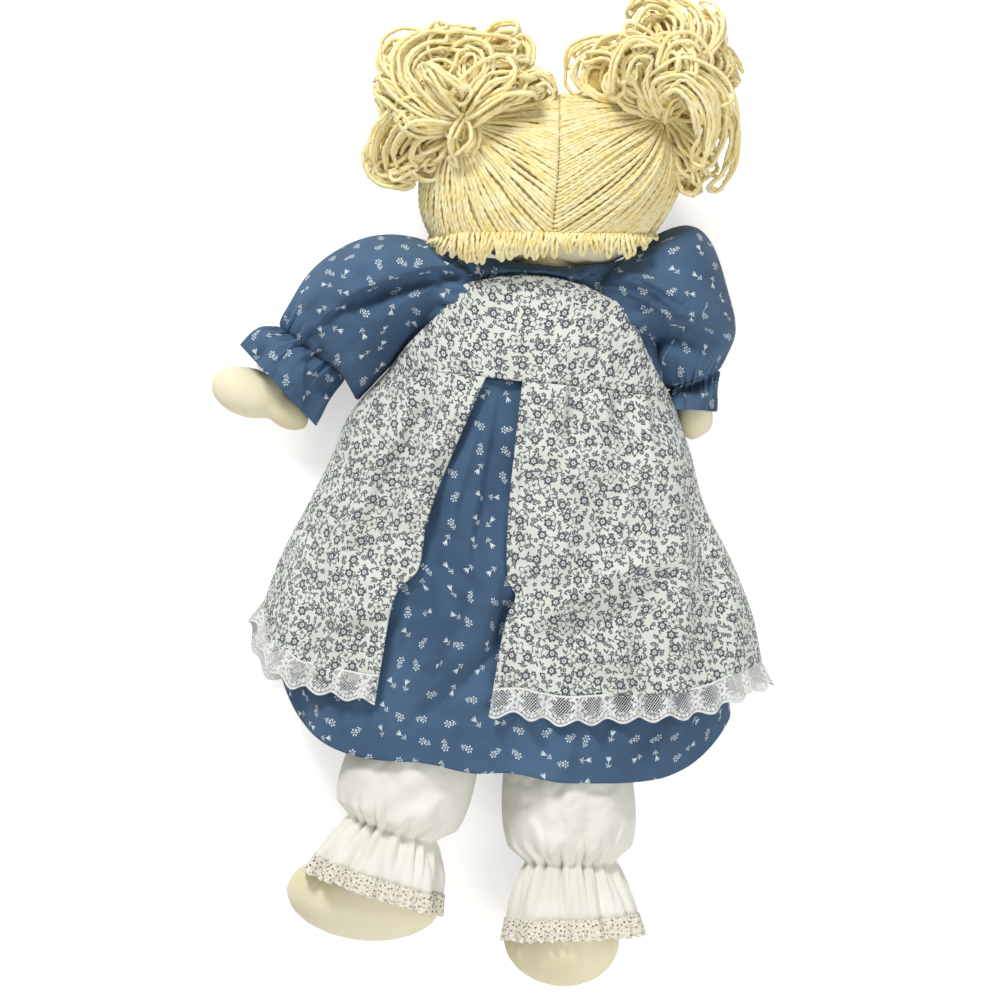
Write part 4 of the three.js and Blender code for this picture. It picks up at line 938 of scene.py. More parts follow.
SLEEVE_FOLDS = {
    "left": [
        ([(-36, 28), (-50, 29), (-61, 27.7), (-74, 22.5), (-91, 14.7), (-104, 7.8), (-116, -3.4), (-124, -12)],
         11, 1.3, 26),
        ([(-42, 22), (-61, 21.5), (-74, 16.5), (-91, 8.5), (-104, 1.5)], -6.0, 4, 5),
        ([(-53, 14), (-62, 5.5), (-74, -6), (-81, -15), (-88, -29), (-92, -38)], -9.0, 6, 7),
        ([(-60, 20), (-68, 8), (-84, -7), (-96, -28), (-98, -38)], 5.0, 2, 12),
        ([(-100, -2), (-108, -16), (-112, -26)], 2.0, 7, 7),
        ([(-78, 38), (-100, 30), (-120, 16), (-134, -4)], 2.6, 9, 7),
        ([(-40, 33), (-60, 35), (-84, 32), (-104, 22)], 2.0, 4, 9),
        ([(-30, 36), (-46, 38), (-66, 40)], 2.0, 3, 5),
        ([(-60, 30), (-46, 28), (-32, 21)], 3.2, 1.4, 4),
        ([(-58, 22), (-46, 19), (-37, 14)], 3.4, 1.4, 4),
        ([(-60, 37), (-46, 35), (-28, 28)], 2.6, 1.4, 4),
        ([(-121, -16), (-112, -26), (-102, -35), (-98, -46)], 4.0, 9, 1.3),
        ([(-134, -20), (-138, -34), (-143, -49)], 4.5, 8, 1.2),
        ([(-127, -28), (-126, -44), (-126, -60)], 5.0, 1.2, 9),
        ([(-119, -38), (-112, -46), (-104, -48)], -5.0, 5, 4),
        ([(-148, -16), (-154, -24), (-160, -32)], 2.0, 5, 4),
    ],
    "right": [
        ([(18, 26), (41, 27), (53, 22.6), (68, 16), (82, 16)], 5.5, 10, 1.6),
        ([(54, 8), (62, 9.7), (76, 12.3), (84, 14.3), (102, 9), (110, 5)], 10, 18, 1.3),
        ([(30, 34), (48, 33), (66, 30), (82, 26)], 2.8, 6, 4),
        ([(44, 42), (60, 50), (80, 52), (94, 40)], 2.6, 8, 6),
        ([(58, 2), (74, 4), (92, 2)], -3.5, 4, 6),
        ([(64, -6), (78, -8), (94, -4)], 3.0, 7, 7),
        ([(72, -21), (78, -22.5), (88, -18), (97, -11), (102, -7)], 6.5, 12, 1.2),
        ([(84, -22), (85, -29), (84, -36)], 2.6, 1.4, 4),
        ([(56, 2), (66, 5.5), (77, 9), (88, 9.5), (104, 3)], -4.5, 3, 7),
        ([(28, 30), (46, 28), (60, 23), (76, 12)], -4.5, 2, 3),
        ([(34, 37), (50, 34), (64, 28), (78, 21)], 3.5, 5, 1.4),
        ([(78, -25), (87, -21), (96, -14)], -6, 2, 3.5),
        ([(92, -18), (93, -27), (92, -34)], 2.4, 3, 1.4),
    ],
}


def gathers(angle, t, seam, count, depth, above, below, seed):
    """Pleats that an elastic or a seam draws in, uneven as hand-guided stitching leaves them.
    They are deepest at the seam's share of the length, and fade out above and below it."""
    draw = random.Random(seed)
    bend = sum(draw.uniform(0.2, 0.5) * np.sin(k * angle + draw.uniform(0, TURN)) for k in (1, 2, 3, 5))
    pleats = np.sin(count * angle + 2.2 * bend) + 0.5 * np.sin(1.7 * count * angle + 3 * bend + 1)
    fade = np.where(t < seam, np.exp(-((t - seam) / above) ** 2), np.exp(-((t - seam) / below) ** 2))
    return depth * pleats * fade


def frill(angle, t, seam, count, depth, seed):
    """The waves of a ruffle, which grow from its seam to its edge."""
    draw = random.Random(seed)
    bend = sum(draw.uniform(0.2, 0.6) * np.sin(k * angle + draw.uniform(0, TURN)) for k in (1, 2, 3))
    grow = smooth(t, seam, 1)
    return depth * grow * (np.sin(count * angle + 2 * bend) + 0.35 * np.sin(2.3 * count * angle + bend))


SLEEVE_SEEDS = {"left": 41, "right": 47}


def sleeve_place(name, t, angle, off=0.0):
    """One sleeve at each share of its length and angle round it, lifted by off."""
    side, seed = SIDES[name], SLEEVE_SEEDS[name]
    row = [along(SLEEVES[name], t, k) for k in range(1, 7)]
    inner_x, inner_y = side * (SHOULDER_X + row[0] * REACH), SHOULDER_Y + row[1] * REACH
    outer_x, outer_y = side * (SHOULDER_X + row[2] * REACH), SHOULDER_Y + row[3] * REACH
    middle_x, middle_y = (inner_x + outer_x) / 2, (inner_y + outer_y) / 2
    half = np.hypot(outer_x - inner_x, outer_y - inner_y) / 2
    run_x, run_y = (outer_x - inner_x) / (2 * half), (outer_y - inner_y) / (2 * half)
    small = gathers(angle, t, CUFF_GATHER, 21, 1.7, 0.06, 0.08, seed)
    small += frill(angle, t, CUFF_GATHER, 5, 2.6, seed + 1)
    small += gathers(angle, t, 0.02, 9, 1.1, 0.05, 0.09, seed + 2)
    small -= CUFF_WAIST * np.exp(-((t - CUFF_GATHER) / 0.02) ** 2)
    x = middle_x + run_x * (half + off + small) * np.cos(angle)
    y = middle_y + run_y * (half + off + small) * np.cos(angle)
    upper = upper_side(angle)
    folds = creases(x, y, SLEEVE_FOLDS[name]) + rumple(x, y, 26, 0.8, seed + 3) + rumple(x, y, 11, 0.3, seed + 4)
    height = SLEEVE_HEIGHT * row[5] + (SLEEVE_DEPTH * row[4] + off + small) * np.sin(angle) + upper * (folds - 1)
    return places(x, y, np.maximum(height, 0.2 + 0.3 * np.abs(np.cos(3 * angle))))


for name, side in SIDES.items():
    sleeve, size = laid_cloth(f"{name}_sleeve_cloth", 220, 170,
                              lambda a, d: sleeve_place(name, SLEEVE_START + (1 - SLEEVE_START) * d, turned(a)),
                              calico, COTTON, closed=True)
    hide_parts(f"{name}_sleeve")
    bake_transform(sleeve)

# %% [markdown]
# ## Elastics
# Narrow braided elastic lies inside each gather. It is a ribbed band, and it hardly shows,
# so a plain strip with a braided finish is enough.

# %% Braided elastic
braided_elastic, tree = new_material("braided_elastic")
flat = flat_millimetres(tree)
cloth_shader(tree, tinted(tree, flat, "#dcd8cb", "#eae6da", 8), weave(tree, flat, 0.6, 0.4))
ELASTIC_THICKNESS = 0.9


def elastic_band(name, node, place, body):
    """One ring of elastic just under the cloth it gathers."""
    band, _ = laid_cloth(name, 96, 4, place, braided_elastic, ELASTIC_THICKNESS, closed=True)
    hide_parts(node)
    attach(band, body)


CUFF_BAND, CUFF_BAND_IN = 0.03, -5.4
for name in SIDES:
    elastic_band(f"{name}_cuff_elastic_band", f"{name}_cuff_elastic",
                 lambda a, d: sleeve_place(name, CUFF_GATHER + (d - 0.5) * CUFF_BAND, a * TURN, CUFF_BAND_IN),
                 f"{name}_arm")

# %% [markdown]
# ## Bloomers
# Long white cotton drawers: a seat on a waist elastic, and two loose legs that are drawn in
# above the ankles, with a frill below the elastic. Beige crochet lace edges the frill.

# %% Bloomers outlines
HIP_DROP, LEG_LENGTH, SEAT_END = 127.5, 160, 138
BLOOMERS_HALF_WIDTH, BLOOMERS_HALF_DEPTH, BLOOMERS_SPAN = 37, 27, 29
BLOOMERS = [[0, .73, .96, 1.25], [.15, .8, .98, 1.2], [.4, .86, .98, 1.13], [.68, .98, 1, 1.1], [.8, .9, .94, 1.08],
            [.845, .68, .82, 1.08], [.875, .68, .82, 1.08], [.96, .84, 1.06, 1.2], [1.06, .95, 1.17, 1.36]]
ANKLES = {"left": (-.345, 1.085), "right": (.325, 1.15)}
KNEE_OUT, KNEE_DOWN = .25, .65
ANKLE_GATHER, FRILL_END, LACE_START = 0.862, 1.06, 1.03
ANKLE_WAIST, ANKLE_BAND, ANKLE_BAND_IN = 1.6, 0.025, -2.2
UPPER_FLATTER = 0.22
BLOOMERS_SEEDS = {"left": 61, "right": 67}
CLOTH_LOWEST = 3.1
SEAM_AIR = 0.35
BLOOMERS_FOLDS = {
    "left": [
        ([(-86, -266), (-74, -270), (-56, -279), (-39, -287)], 6.0, 10, 1.8),
        ([(-34, -246), (-54, -262), (-74, -272)], 2.4, 8, 4),
        ([(-14, -250), (-34, -268), (-58, -280)], 2.2, 9, 4),
        ([(-70, -240), (-66, -258), (-70, -276)], 1.8, 4, 7),
        ([(-30, -262), (-30, -274), (-28, -286)], 1.4, 3, 6),
        ([(-46, -240), (-52, -254), (-50, -270)], -1.4, 6, 4),
    ],
    "right": [
        ([(26, -240), (34, -262), (38, -288)], 2.2, 5, 4),
        ([(40, -240), (46, -264), (50, -290)], 2.2, 6, 4),
        ([(68, -240), (66, -262), (62, -286)], 2.0, 4, 8),
        ([(56, -268), (60, -280), (64, -292)], 2.6, 3.5, 5),
        ([(22, -262), (30, -276), (34, -290)], 3.4, 1.6, 6),
        ([(76, -262), (72, -276), (64, -290)], 3.6, 6, 1.6),
        ([(44, -272), (40, -280), (38, -290)], 2.4, 1.5, 4),
        ([(54, -244), (56, -262), (54, -280)], -1.6, 5, 5),
    ],
}


def bloomers_line(name, t):
    """Middle of a leg of the bloomers at each share of its length, and which way is across."""
    side = SIDES[name]
    top = np.array([side * BLOOMERS_SPAN, -SEAT_END - SEAM_AIR])
    knee = np.array([side * KNEE_OUT * LEG_LENGTH, -HIP_DROP - KNEE_DOWN * LEG_LENGTH])
    end = np.array([ANKLES[name][0] * LEG_LENGTH, -HIP_DROP - ANKLES[name][1] * LEG_LENGTH])
    past = np.clip(t - 1, 0, 1)[:, None]
    t = np.minimum(t, 1)[:, None]
    middle = (1 - t) ** 2 * top + 2 * t * (1 - t) * knee + t * t * end + past * 2 * (end - knee)
    tangent = 2 * (1 - t) * (knee - top) + 2 * t * (end - knee)
    tangent /= np.linalg.norm(tangent, axis=1)[:, None]
    across = np.array([1.0, 0.0]) * (1 - t) + np.stack([-tangent[:, 1], tangent[:, 0]], 1) * t
    return middle, across / np.linalg.norm(across, axis=1)[:, None]


def bloomers_place(name, t, angle, off=0.0):
    """One leg of the bloomers, lifted by off. Its upper part, under the dress, is flatter."""
    middle, across = bloomers_line(name, t)
    seed = BLOOMERS_SEEDS[name]
    small = gathers(angle, t, ANKLE_GATHER, 19, 1.7, 0.07, 0.13, seed)
    small += frill(angle, t, ANKLE_GATHER, 9, 2.3, seed + 1)
    small -= ANKLE_WAIST * np.exp(-((t - ANKLE_GATHER) / 0.015) ** 2)
    half = BLOOMERS_HALF_WIDTH * along(BLOOMERS, t) + off + small
    depth = BLOOMERS_HALF_DEPTH * along(BLOOMERS, t, 2) + off + small
    depth = depth * (1 - UPPER_FLATTER * smooth(t, 0.5, 0.36))
    x = middle[:, 0] + across[:, 0] * half * np.cos(angle)
    y = middle[:, 1] + across[:, 1] * half * np.cos(angle)
    folds = creases(x, y, BLOOMERS_FOLDS[name]) + rumple(x, y, 24, 0.7, seed + 3) + rumple(x, y, 10, 0.22, seed + 4)
    folds = folds * smooth(t, ANKLE_GATHER + 0.01, ANKLE_GATHER - 0.045) - 0.8
    sine = np.sin(angle)
    fuller = np.clip(sine, 1e-6, 1) ** (1 - 0.4 * smooth(t, ANKLE_GATHER, 1))
    height = BLOOMERS_HALF_DEPTH * along(BLOOMERS, t, 3) + depth * np.where(sine > 0, fuller, sine)
    return places(x, y, np.maximum(height + upper_side(angle) * folds * smooth(t, 0.4, 0.55), CLOTH_LOWEST))


for name in SIDES:
    legs, size = laid_cloth(f"{name}_bloomers_leg_cloth", 220, 150,
                            lambda a, d: bloomers_place(name, d * FRILL_END, turned(a)),
                            white_cotton, COTTON, closed=True)
    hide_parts(f"bloomers_{name}_leg")
    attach(legs, f"{name}_leg")
    elastic_band(f"{name}_ankle_elastic_band", f"{name}_ankle_elastic",
                 lambda a, d: bloomers_place(name, ANKLE_GATHER + (d - 0.5) * ANKLE_BAND, a * TURN, ANKLE_BAND_IN),
                 f"{name}_leg")

# %% Seat of the bloomers and its waist elastic
SEAT_TOP, SEAT_HALF_WIDTH, SEAT_HALF_DEPTH = 56, 50.2, 29
SEAT = [[0, 1.03, 1.04], [.4, 1.08, 1.02], [1, 1.16, .95]]
SEAT_AIR, WAIST_BAND_START, WAIST_BAND, WAIST_BAND_IN = 0.6, 0.008, 0.05, -0.9


def seat_place(down, angle, off=0.0):
    """The seat, drawn in by its waist elastic and lifted by off."""
    ruck = gathers(angle, down, 0.03, 24, 0.5, 0.06, 0.25, 71)
    x = (SEAT_HALF_WIDTH * along(SEAT, down) + off + ruck) * np.cos(angle)
    height = BODY_LEVEL + (SEAT_HALF_DEPTH * along(SEAT, down, 2) + off + ruck) * np.sin(angle)
    return places(x, -(SEAT_TOP + (SEAT_END - SEAT_TOP) * down), np.maximum(height, CLOTH_LOWEST))


seat, size = laid_cloth("bloomers_seat_cloth", 140, 48, lambda a, d: seat_place(d, turned(a), SEAT_AIR),
                        white_cotton, COTTON, closed=True)
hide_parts("bloomers_seat")
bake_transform(seat)
elastic_band("bloomers_waist_elastic_band", "bloomers_waist_elastic",
             lambda a, d: seat_place(WAIST_BAND_START + d * WAIST_BAND, a * TURN, WAIST_BAND_IN), "torso")

# %% Crochet lace round the ankles
CROCHET_DROP, CROCHET_LENGTH, CROCHET_SCALLOP, SCALLOP_DEPTH = 6.5, 230, 6, 1.1
SEWN_SHARE = 0.25
RUFFLES, RUFFLE_HEIGHT, CROCHET_LIFT, CROCHET_LOWEST = 34, 1.5, 1.2, 2.2


def crochet_place(name, across, down):
    """Lace that is sewn on the frill's edge with its first quarter and hangs free past it."""
    angle = across * TURN
    start = bloomers_place(name, np.full(len(across), LACE_START), angle, 0.9)
    edge = bloomers_place(name, np.full(len(across), FRILL_END), angle, 1.1)
    way = edge - start
    way /= np.linalg.norm(way, axis=1)[:, None]
    reach = CROCHET_DROP + SCALLOP_DEPTH * np.abs(np.sin(across * CROCHET_LENGTH * math.pi / CROCHET_SCALLOP))
    past = np.clip((down - SEWN_SHARE) / (1 - SEWN_SHARE), 0, 1)
    on = start + (edge - start) * np.clip(down / SEWN_SHARE, 0, 1)[:, None]
    laid = on + way * (reach * past)[:, None]
    ruffles = RUFFLE_HEIGHT * past * np.sin(across * RUFFLES * TURN + 2 * np.sin(3 * angle))
    laid[:, 2] += (CROCHET_LIFT + ruffles) * (np.sin(angle) > 0)
    laid[:, 2] = np.maximum(laid[:, 2], CROCHET_LOWEST)
    return laid


for name in SIDES:
    ankle_lace, size = laid_cloth(f"{name}_ankle_lace_strip", 420, 18, lambda a, d: crochet_place(name, a, d),
                                  crochet_lace, 0.6, closed=True, strip=True)
    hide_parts(f"{name}_ankle_lace")
    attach(ankle_lace, f"{name}_leg")

# %% [markdown]
# ## Collar
# A narrow frill of calico is sewn round the neck, longer than the neck is round, so that it
# waves. It lies folded over itself at the back, under the hair, and is pulled to one side.

# %% Collar frill
COLLAR_LEFT, COLLAR_RIGHT = [[0, -47, 20], [1, -58, 38]], [[0, 40, 24], [1, 47, 46]]
COLLAR_FOLDS = [
    ([(-42, 24), (-20, 29.5), (0, 31), (12, 30), (18, 29), (24, 35), (31, 40), (36, 43)], 4.5, 5, 1.0),
    ([(25, 39.5), (32, 42), (38, 43.5)], -6, 2.2, 2.2),
]
COLLAR_MIDDLE, COLLAR_WIDTH = 27, 8
COLLAR_TOP, COLLAR_BOTTOM = 62, 9.5


def collar_place(across, down):
    """The collar, from the seam at the neck to its free edge."""
    angle = turned(across)
    cosine, sine = np.cos(angle), np.sin(angle)
    out = np.abs(cosine)
    side_x, side_y = side_marks(COLLAR_LEFT, COLLAR_RIGHT, down, cosine)
    middle = COLLAR_MIDDLE + COLLAR_WIDTH * down
    wave = 1.6 * down * np.sin(13 * angle + np.sin(3 * angle)) + 0.5 * np.sin(31 * angle)
    x = side_x * out
    y = middle + (side_y - middle) * out ** 2
    top = COLLAR_TOP + 2.5 * np.sin(math.pi * down) - 3 * down + wave + creases(x, y, COLLAR_FOLDS)
    bottom = COLLAR_BOTTOM - 1.5 * down - 0.4 * wave
    return places(x, y, BODY_LEVEL + (np.where(sine > 0, top, bottom) - BODY_LEVEL) * np.abs(sine) ** 0.7)


collar, size = laid_cloth("collar_ruffle_cloth", 300, 24, collar_place, calico, COTTON, closed=True)
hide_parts("collar_ruffle")
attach(collar, "torso")

# %% [markdown]
# ## Stuffed muslin parts
# The body, head, arms and legs are muslin bags, turned and filled firmly with fibre. Their
# solids already have the stuffed shape, but in flat facets. Here each is turned to an even
# skin of small squares and relaxed, which rounds it as the filling does. The left hand shows
# in full, so it is drawn as one padded mitten. The face is hidden, and is stitched on plainly.

# %% The head's middle, and the mitten hand
HEAD_MIDDLE = np.array([-3.5, 79.0, 40.5])
HAND_MIDDLE, HAND_SIZE, HAND_LEAN = (245, 391), (21.5, 14, 12.5), math.radians(-17)
THUMB_MIDDLE, THUMB_SIZE, THUMB_LEAN = (284, 411), (14, 9, 9), math.radians(-32)
WRIST_X, WRIST_RANGE, SLEEVE_RANGE = -0.15, (-0.116, -0.134), (-0.088, -0.105)


def add_mitten(bm):
    """The left hand is one padded mitten, whose thumb is no more than a swelling."""
    heights = [v.co.z for v in bm.verts if v.co.x < WRIST_X]
    level = sum(heights) / max(1, len(heights))
    middle = Vector(from_picture(*HAND_MIDDLE, 0) * MM)
    middle.z = max(level, (HAND_SIZE[2] + 1.2) * MM)
    for vertex in bm.verts:
        drawn_in = 0.8 * float(smooth(vertex.co.x, *WRIST_RANGE))
        vertex.co = vertex.co.lerp(middle, drawn_in)
        vertex.co.z *= 1 - 0.16 * float(smooth(vertex.co.x, *SLEEVE_RANGE))
    for spot, size, lean in ((HAND_MIDDLE, HAND_SIZE, HAND_LEAN), (THUMB_MIDDLE, THUMB_SIZE, THUMB_LEAN)):
        place = Vector(from_picture(*spot, 0) * MM)
        place.z = middle.z
        shape = Matrix.Translation(place) @ Matrix.Rotation(lean + PICTURE_TURN, 4, "Z")
        shape = shape @ Matrix.Diagonal((*(v * MM for v in size), 1))
        bmesh.ops.create_uvsphere(bm, u_segments=48, v_segments=24, radius=1, matrix=shape)


print("hand at:", [round(float(v), 1) for v in from_picture(*HAND_MIDDLE, 0)[:2]])

# %% Stitched face, in millimetres from the middle of the head
FACE_DEPTH = 34
EYE_X, EYE_Y, EYE_SIZE = 14, 3, (2.6, 3.8)
CHEEK_X, CHEEK_Y, CHEEK_SIZE = 22, -8, (7.5, 6.5)
NOSE = ((0, -3.5), (1.6, 1.1), 0)
SMILE_RINGS, SMILE_PART = (13, 11.6), ((0, -15.5), (8, 5), 0)
muslin_face, tree = new_material("cream_muslin_with_stitched_face")
flat = solid_millimetres(tree)
centred = add_node(tree, "VectorMath", {0: flat, 1: tuple(HEAD_MIDDLE)}, operation="SUBTRACT").outputs[0]
front = over(tree, add_node(tree, "SeparateXYZ", {0: flat}).outputs[2], FACE_DEPTH, FACE_DEPTH - 2)
face = add_node(tree, "VectorMath", {0: centred, 1: (1, 1, 0)}, operation="MULTIPLY").outputs[0]
eyes = ovals(tree, face, [((side * EYE_X, EYE_Y), EYE_SIZE, 0) for side in (-1, 1)], 0.15)
smile_ring = clear_of(tree, *(oval(tree, face, (0, -3), (size, size), 0, 0.03) for size in SMILE_RINGS))
smile_part = oval(tree, face, *SMILE_PART, 0.1)
smile = add_node(tree, "Math", {0: smile_ring, 1: smile_part}, operation="MULTIPLY").outputs[0]
cheeks = ovals(tree, face, [((side * CHEEK_X, CHEEK_Y), CHEEK_SIZE, 0) for side in (-1, 1)], 0.6)
thread = most(tree, smile, oval(tree, face, *NOSE, 0.2))
skin = tinted(tree, flat, MUSLIN_DARK, MUSLIN_LIGHT, MUSLIN_PATCH)
for mask, colour, strength in ((cheeks, "#e0a08c", 0.55), (thread, "#a8483f", 0.9), (eyes, "#38302b", 0.95)):
    shown = add_node(tree, "Math", {0: mask, 1: front}, operation="MULTIPLY").outputs[0]
    shown = add_node(tree, "Math", {0: shown, 1: strength}, operation="MULTIPLY").outputs[0]
    layers = {"Factor": shown, "A": skin, "B": linear(colour)}
    skin = add_node(tree, "Mix", layers, data_type="RGBA").outputs["Result"]
cloth_shader(tree, skin, weave(tree, flat, 0.35, 0.3))
print(muslin_face.name, "nodes:", len(tree.nodes))

# %% The stuffed pieces
HEAD_SLIM = 0.92


def slim_head(bm):
    """Under its hair the head is a little narrower than the hair."""
    for vertex in bm.verts:
        vertex.co.x = HEAD_MIDDLE[0] * MM + (vertex.co.x - HEAD_MIDDLE[0] * MM) * HEAD_SLIM


def stuffed_part(node, name, voxel, rounds, body, add=None):
    """A smooth stuffed skin made from one solid of the frame. Add may change the solid first."""
    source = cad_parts[node]
    bm = bmesh.new()
    bm.from_mesh(source.data)
    bmesh.ops.remove_doubles(bm, verts=bm.verts, dist=0.01 * MM)
    if add:
        add(bm)
    piece = in_scene(name, mesh_of(name, bm))
    skin = piece.modifiers.new("even_skin", "REMESH")
    skin.mode, skin.voxel_size = "VOXEL", voxel * MM
    relax = piece.modifiers.new("relaxed", "SMOOTH")
    relax.factor, relax.iterations = 0.5, rounds
    shaped = bpy.data.meshes.new_from_object(piece.evaluated_get(bpy.context.evaluated_depsgraph_get()))
    piece.modifiers.clear()
    piece.data = shaped
    shaped.name = name
    shaped.materials.clear()
    shaped.materials.append(muslin)
    for face in shaped.polygons:
        face.use_smooth = True
    print(name, "faces:", len(shaped.polygons))
    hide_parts(node)
    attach(piece, body)
    return piece


bpy.context.view_layer.update()
stuffed_part("torso", "stuffed_torso", 3, 6, "torso")
stuffed_head = stuffed_part("head", "stuffed_head", 3, 6, "head", slim_head)
stuffed_head.data.materials[0] = muslin_face
for name in SIDES:
    hand = add_mitten if name == "left" else None
    stuffed_part(f"{name}_arm", f"stuffed_{name}_arm", 1.6, 14, f"{name}_arm", hand)
    stuffed_part(f"{name}_leg", f"stuffed_{name}_leg", 2, 16, f"{name}_leg")

# %% [markdown]
# ## Yarn hair
# The hair is thick two-ply yarn, stitched to the head along a parting down the middle and
# combed up and out to two ties. Each strand is a curve with a two-lobed outline that turns
# as it goes, which is just how two plies lie round each other.

# %% Yarn as a twisted curve
YARN_THICK, PLY_PITCH = 3.3, 9.0


def evenly(points, step):
    """The same line with a point every step millimetres, smoothly through its guide points."""
    points = np.array(points, float)
    lengths = np.linalg.norm(np.diff(points, axis=0), axis=1)
    lengths = np.maximum(lengths, 1e-4) ** 0.75
    marks = np.concatenate([[0], np.cumsum(lengths)])
    fine = np.linspace(0, marks[-1], 12 * len(points))
    table = np.column_stack([marks, points])
    dense = np.stack([along(table, fine, k) for k in (1, 2, 3)], 1)
    run = np.concatenate([[0], np.cumsum(np.linalg.norm(np.diff(dense, axis=0), axis=1))])
    places_on = np.linspace(0, run[-1], max(4, int(run[-1] / step) + 1))
    return np.stack([np.interp(places_on, run, dense[:, k]) for k in range(3)], 1)


def yarn_piece(name, strands, step, corners, seed, thick=YARN_THICK):
    """Many strands of plied yarn as one mesh."""
    draw = random.Random(seed)
    outline = bpy.data.curves.new("ply_outline", "CURVE")
    outline.dimensions = "2D"
    ring = outline.splines.new("POLY")
    ring.points.add(corners - 1)
    ring.use_cyclic_u = True
    for k, point in enumerate(ring.points):
        angle = TURN * k / corners
        radius = thick / 2 * (0.84 + 0.16 * math.cos(2 * angle)) * MM
        point.co = (radius * math.cos(angle), radius * math.sin(angle), 0, 1)
    outline_object = in_scene("ply_outline", outline)
    curve = bpy.data.curves.new(name, "CURVE")
    curve.dimensions = "3D"
    curve.bevel_mode = "OBJECT"
    curve.bevel_object = outline_object
    curve.use_fill_caps = True
    total = 0
    for strand in strands:
        line = evenly(strand, step)
        spline = curve.splines.new("POLY")
        spline.points.add(len(line) - 1)
        spline.points.foreach_set("co", np.column_stack([line * MM, np.ones(len(line))]).ravel())
        start = draw.uniform(0, TURN)
        pitch = PLY_PITCH * draw.uniform(0.9, 1.15)
        spline.points.foreach_set("tilt", start + np.arange(len(line)) * step * TURN / pitch)
        spline.points.foreach_set("radius", np.full(len(line), draw.uniform(0.88, 1.06)))
        total += len(line)
    holder = in_scene(name + "_curve", curve)
    bpy.context.view_layer.update()
    mesh = bpy.data.meshes.new_from_object(holder.evaluated_get(bpy.context.evaluated_depsgraph_get()))
    mesh.name = name
    bpy.data.objects.remove(holder)
    bpy.data.objects.remove(outline_object)
    mesh.materials.clear()
    mesh.materials.append(yarn)
    mesh.polygons.foreach_set("use_smooth", np.ones(len(mesh.polygons), bool))
    print(name, "strands:", len(strands), "yarn:", round(total * step / 1000, 1), "m, faces:", len(mesh.polygons))
    return in_scene(name, mesh)


# %% [markdown]
# ## Hair on the head
# The head is nearer to a cushion than a ball, so the hair lies on a slightly squared oval
# that is turned a little, as the doll's head is. Strands start at the parting and at the
# nape, run over that oval by the shortest way, and pile up on each other at the ties.

# %% The oval that the hair lies on
HAIR_HALF = np.array([69.5, 50.5, 44.5])
HEAD_TURN = math.radians(5)
SQUARENESS, NAPE_TUCK = 2.4, 0.11
COMB_STEPS = 9
TIES = {"left": np.array([-48.2, 102.3, 70.2]), "right": np.array([48.1, 117.3, 49.0])}
TIE_WAYS = {"left": np.array([-.643, .444, .624]), "right": np.array([.650, .738, .180])}


def head_turn(spots, angle=HEAD_TURN):
    """Turns places about the middle of the head, in the plane of the table."""
    spots = np.atleast_2d(spots)
    c, s = math.cos(angle), math.sin(angle)
    return np.stack([spots[:, 0] * c - spots[:, 1] * s, spots[:, 0] * s + spots[:, 1] * c, spots[:, 2]], 1)


def on_head(ways, off):
    """Places on the hair's oval in each direction from its middle, lifted by off."""
    ways = np.atleast_2d(ways)
    reach = (np.abs(ways) ** SQUARENESS).sum(1) ** (-1 / SQUARENESS)
    reach = reach * (1 - NAPE_TUCK * np.clip(ways[:, 0], 0, 1) * np.clip(-2.2 * ways[:, 1], 0, 1))
    return HEAD_MIDDLE + head_turn(ways * reach[:, None] * (HAIR_HALF + np.reshape(off, (-1, 1))))


def way_to(spot):
    """The direction in which a place on the hair lies, on the oval's own scale."""
    way = (head_turn(spot - HEAD_MIDDLE, -HEAD_TURN) / HAIR_HALF)[0]
    return way / np.linalg.norm(way)


def way_above(x, y):
    """The direction of the place on the hair that is straight above x, y on the table."""
    local = head_turn(np.array([x, y, 0]) - HEAD_MIDDLE * [1, 1, 0], -HEAD_TURN)[0] / HAIR_HALF
    flat = abs(local[0]) ** SQUARENESS + abs(local[1]) ** SQUARENESS
    way = np.array([local[0], local[1], max(1 - flat, 0.0) ** (1 / SQUARENESS)])
    return way / np.linalg.norm(way)


def combed(start, end):
    """Directions from one to another by the shortest way over the head."""
    angle = math.acos(float(np.clip(start @ end, -1, 1)))
    shares = np.linspace(0, 1, COMB_STEPS)
    parts = [math.sin((1 - t) * angle) * start + math.sin(t * angle) * end for t in shares]
    return np.array(parts) / math.sin(angle)


print("hair's oval:", HAIR_HALF.tolist(), "turned:", round(math.degrees(HEAD_TURN), 1))

# %% Where strands start, and how they run
RIM, SWAY, LAYER_RISE = 0.10, 0.022, 1.7
SEAM = [[0, -3.0, 127], [.3, -1.5, 111], [.65, .6, 84], [1, 1.2, 47]]
NAPE_LINES = {"left": [[0, 0.8, 45.5], [.5, -34, 44], [1, -64, 46]],
              "right": [[0, 0.8, 45.5], [.5, 33, 50.5], [1, 58, 58]]}


def hair_starts(name, along_seam, along_nape, round_edge):
    """Where the strands of one half of the back begin."""
    side = SIDES[name]
    starts = []
    for line, count, aside in ((SEAM, along_seam, side * 1.2), (NAPE_LINES[name], along_nape, 0)):
        for share in (np.arange(count) + 0.5) / count:
            starts.append(way_above(float(along(line, share, 1)) + aside, float(along(line, share, 2))))
    for k in range(round_edge):
        down = math.radians(-38 + 12 * k / max(round_edge - 1, 1))
        back = 0.28 - 0.62 * (k + 1) / round_edge
        way = np.array([side * math.cos(down), math.sin(down), back])
        starts.append(way / np.linalg.norm(way))
    return starts


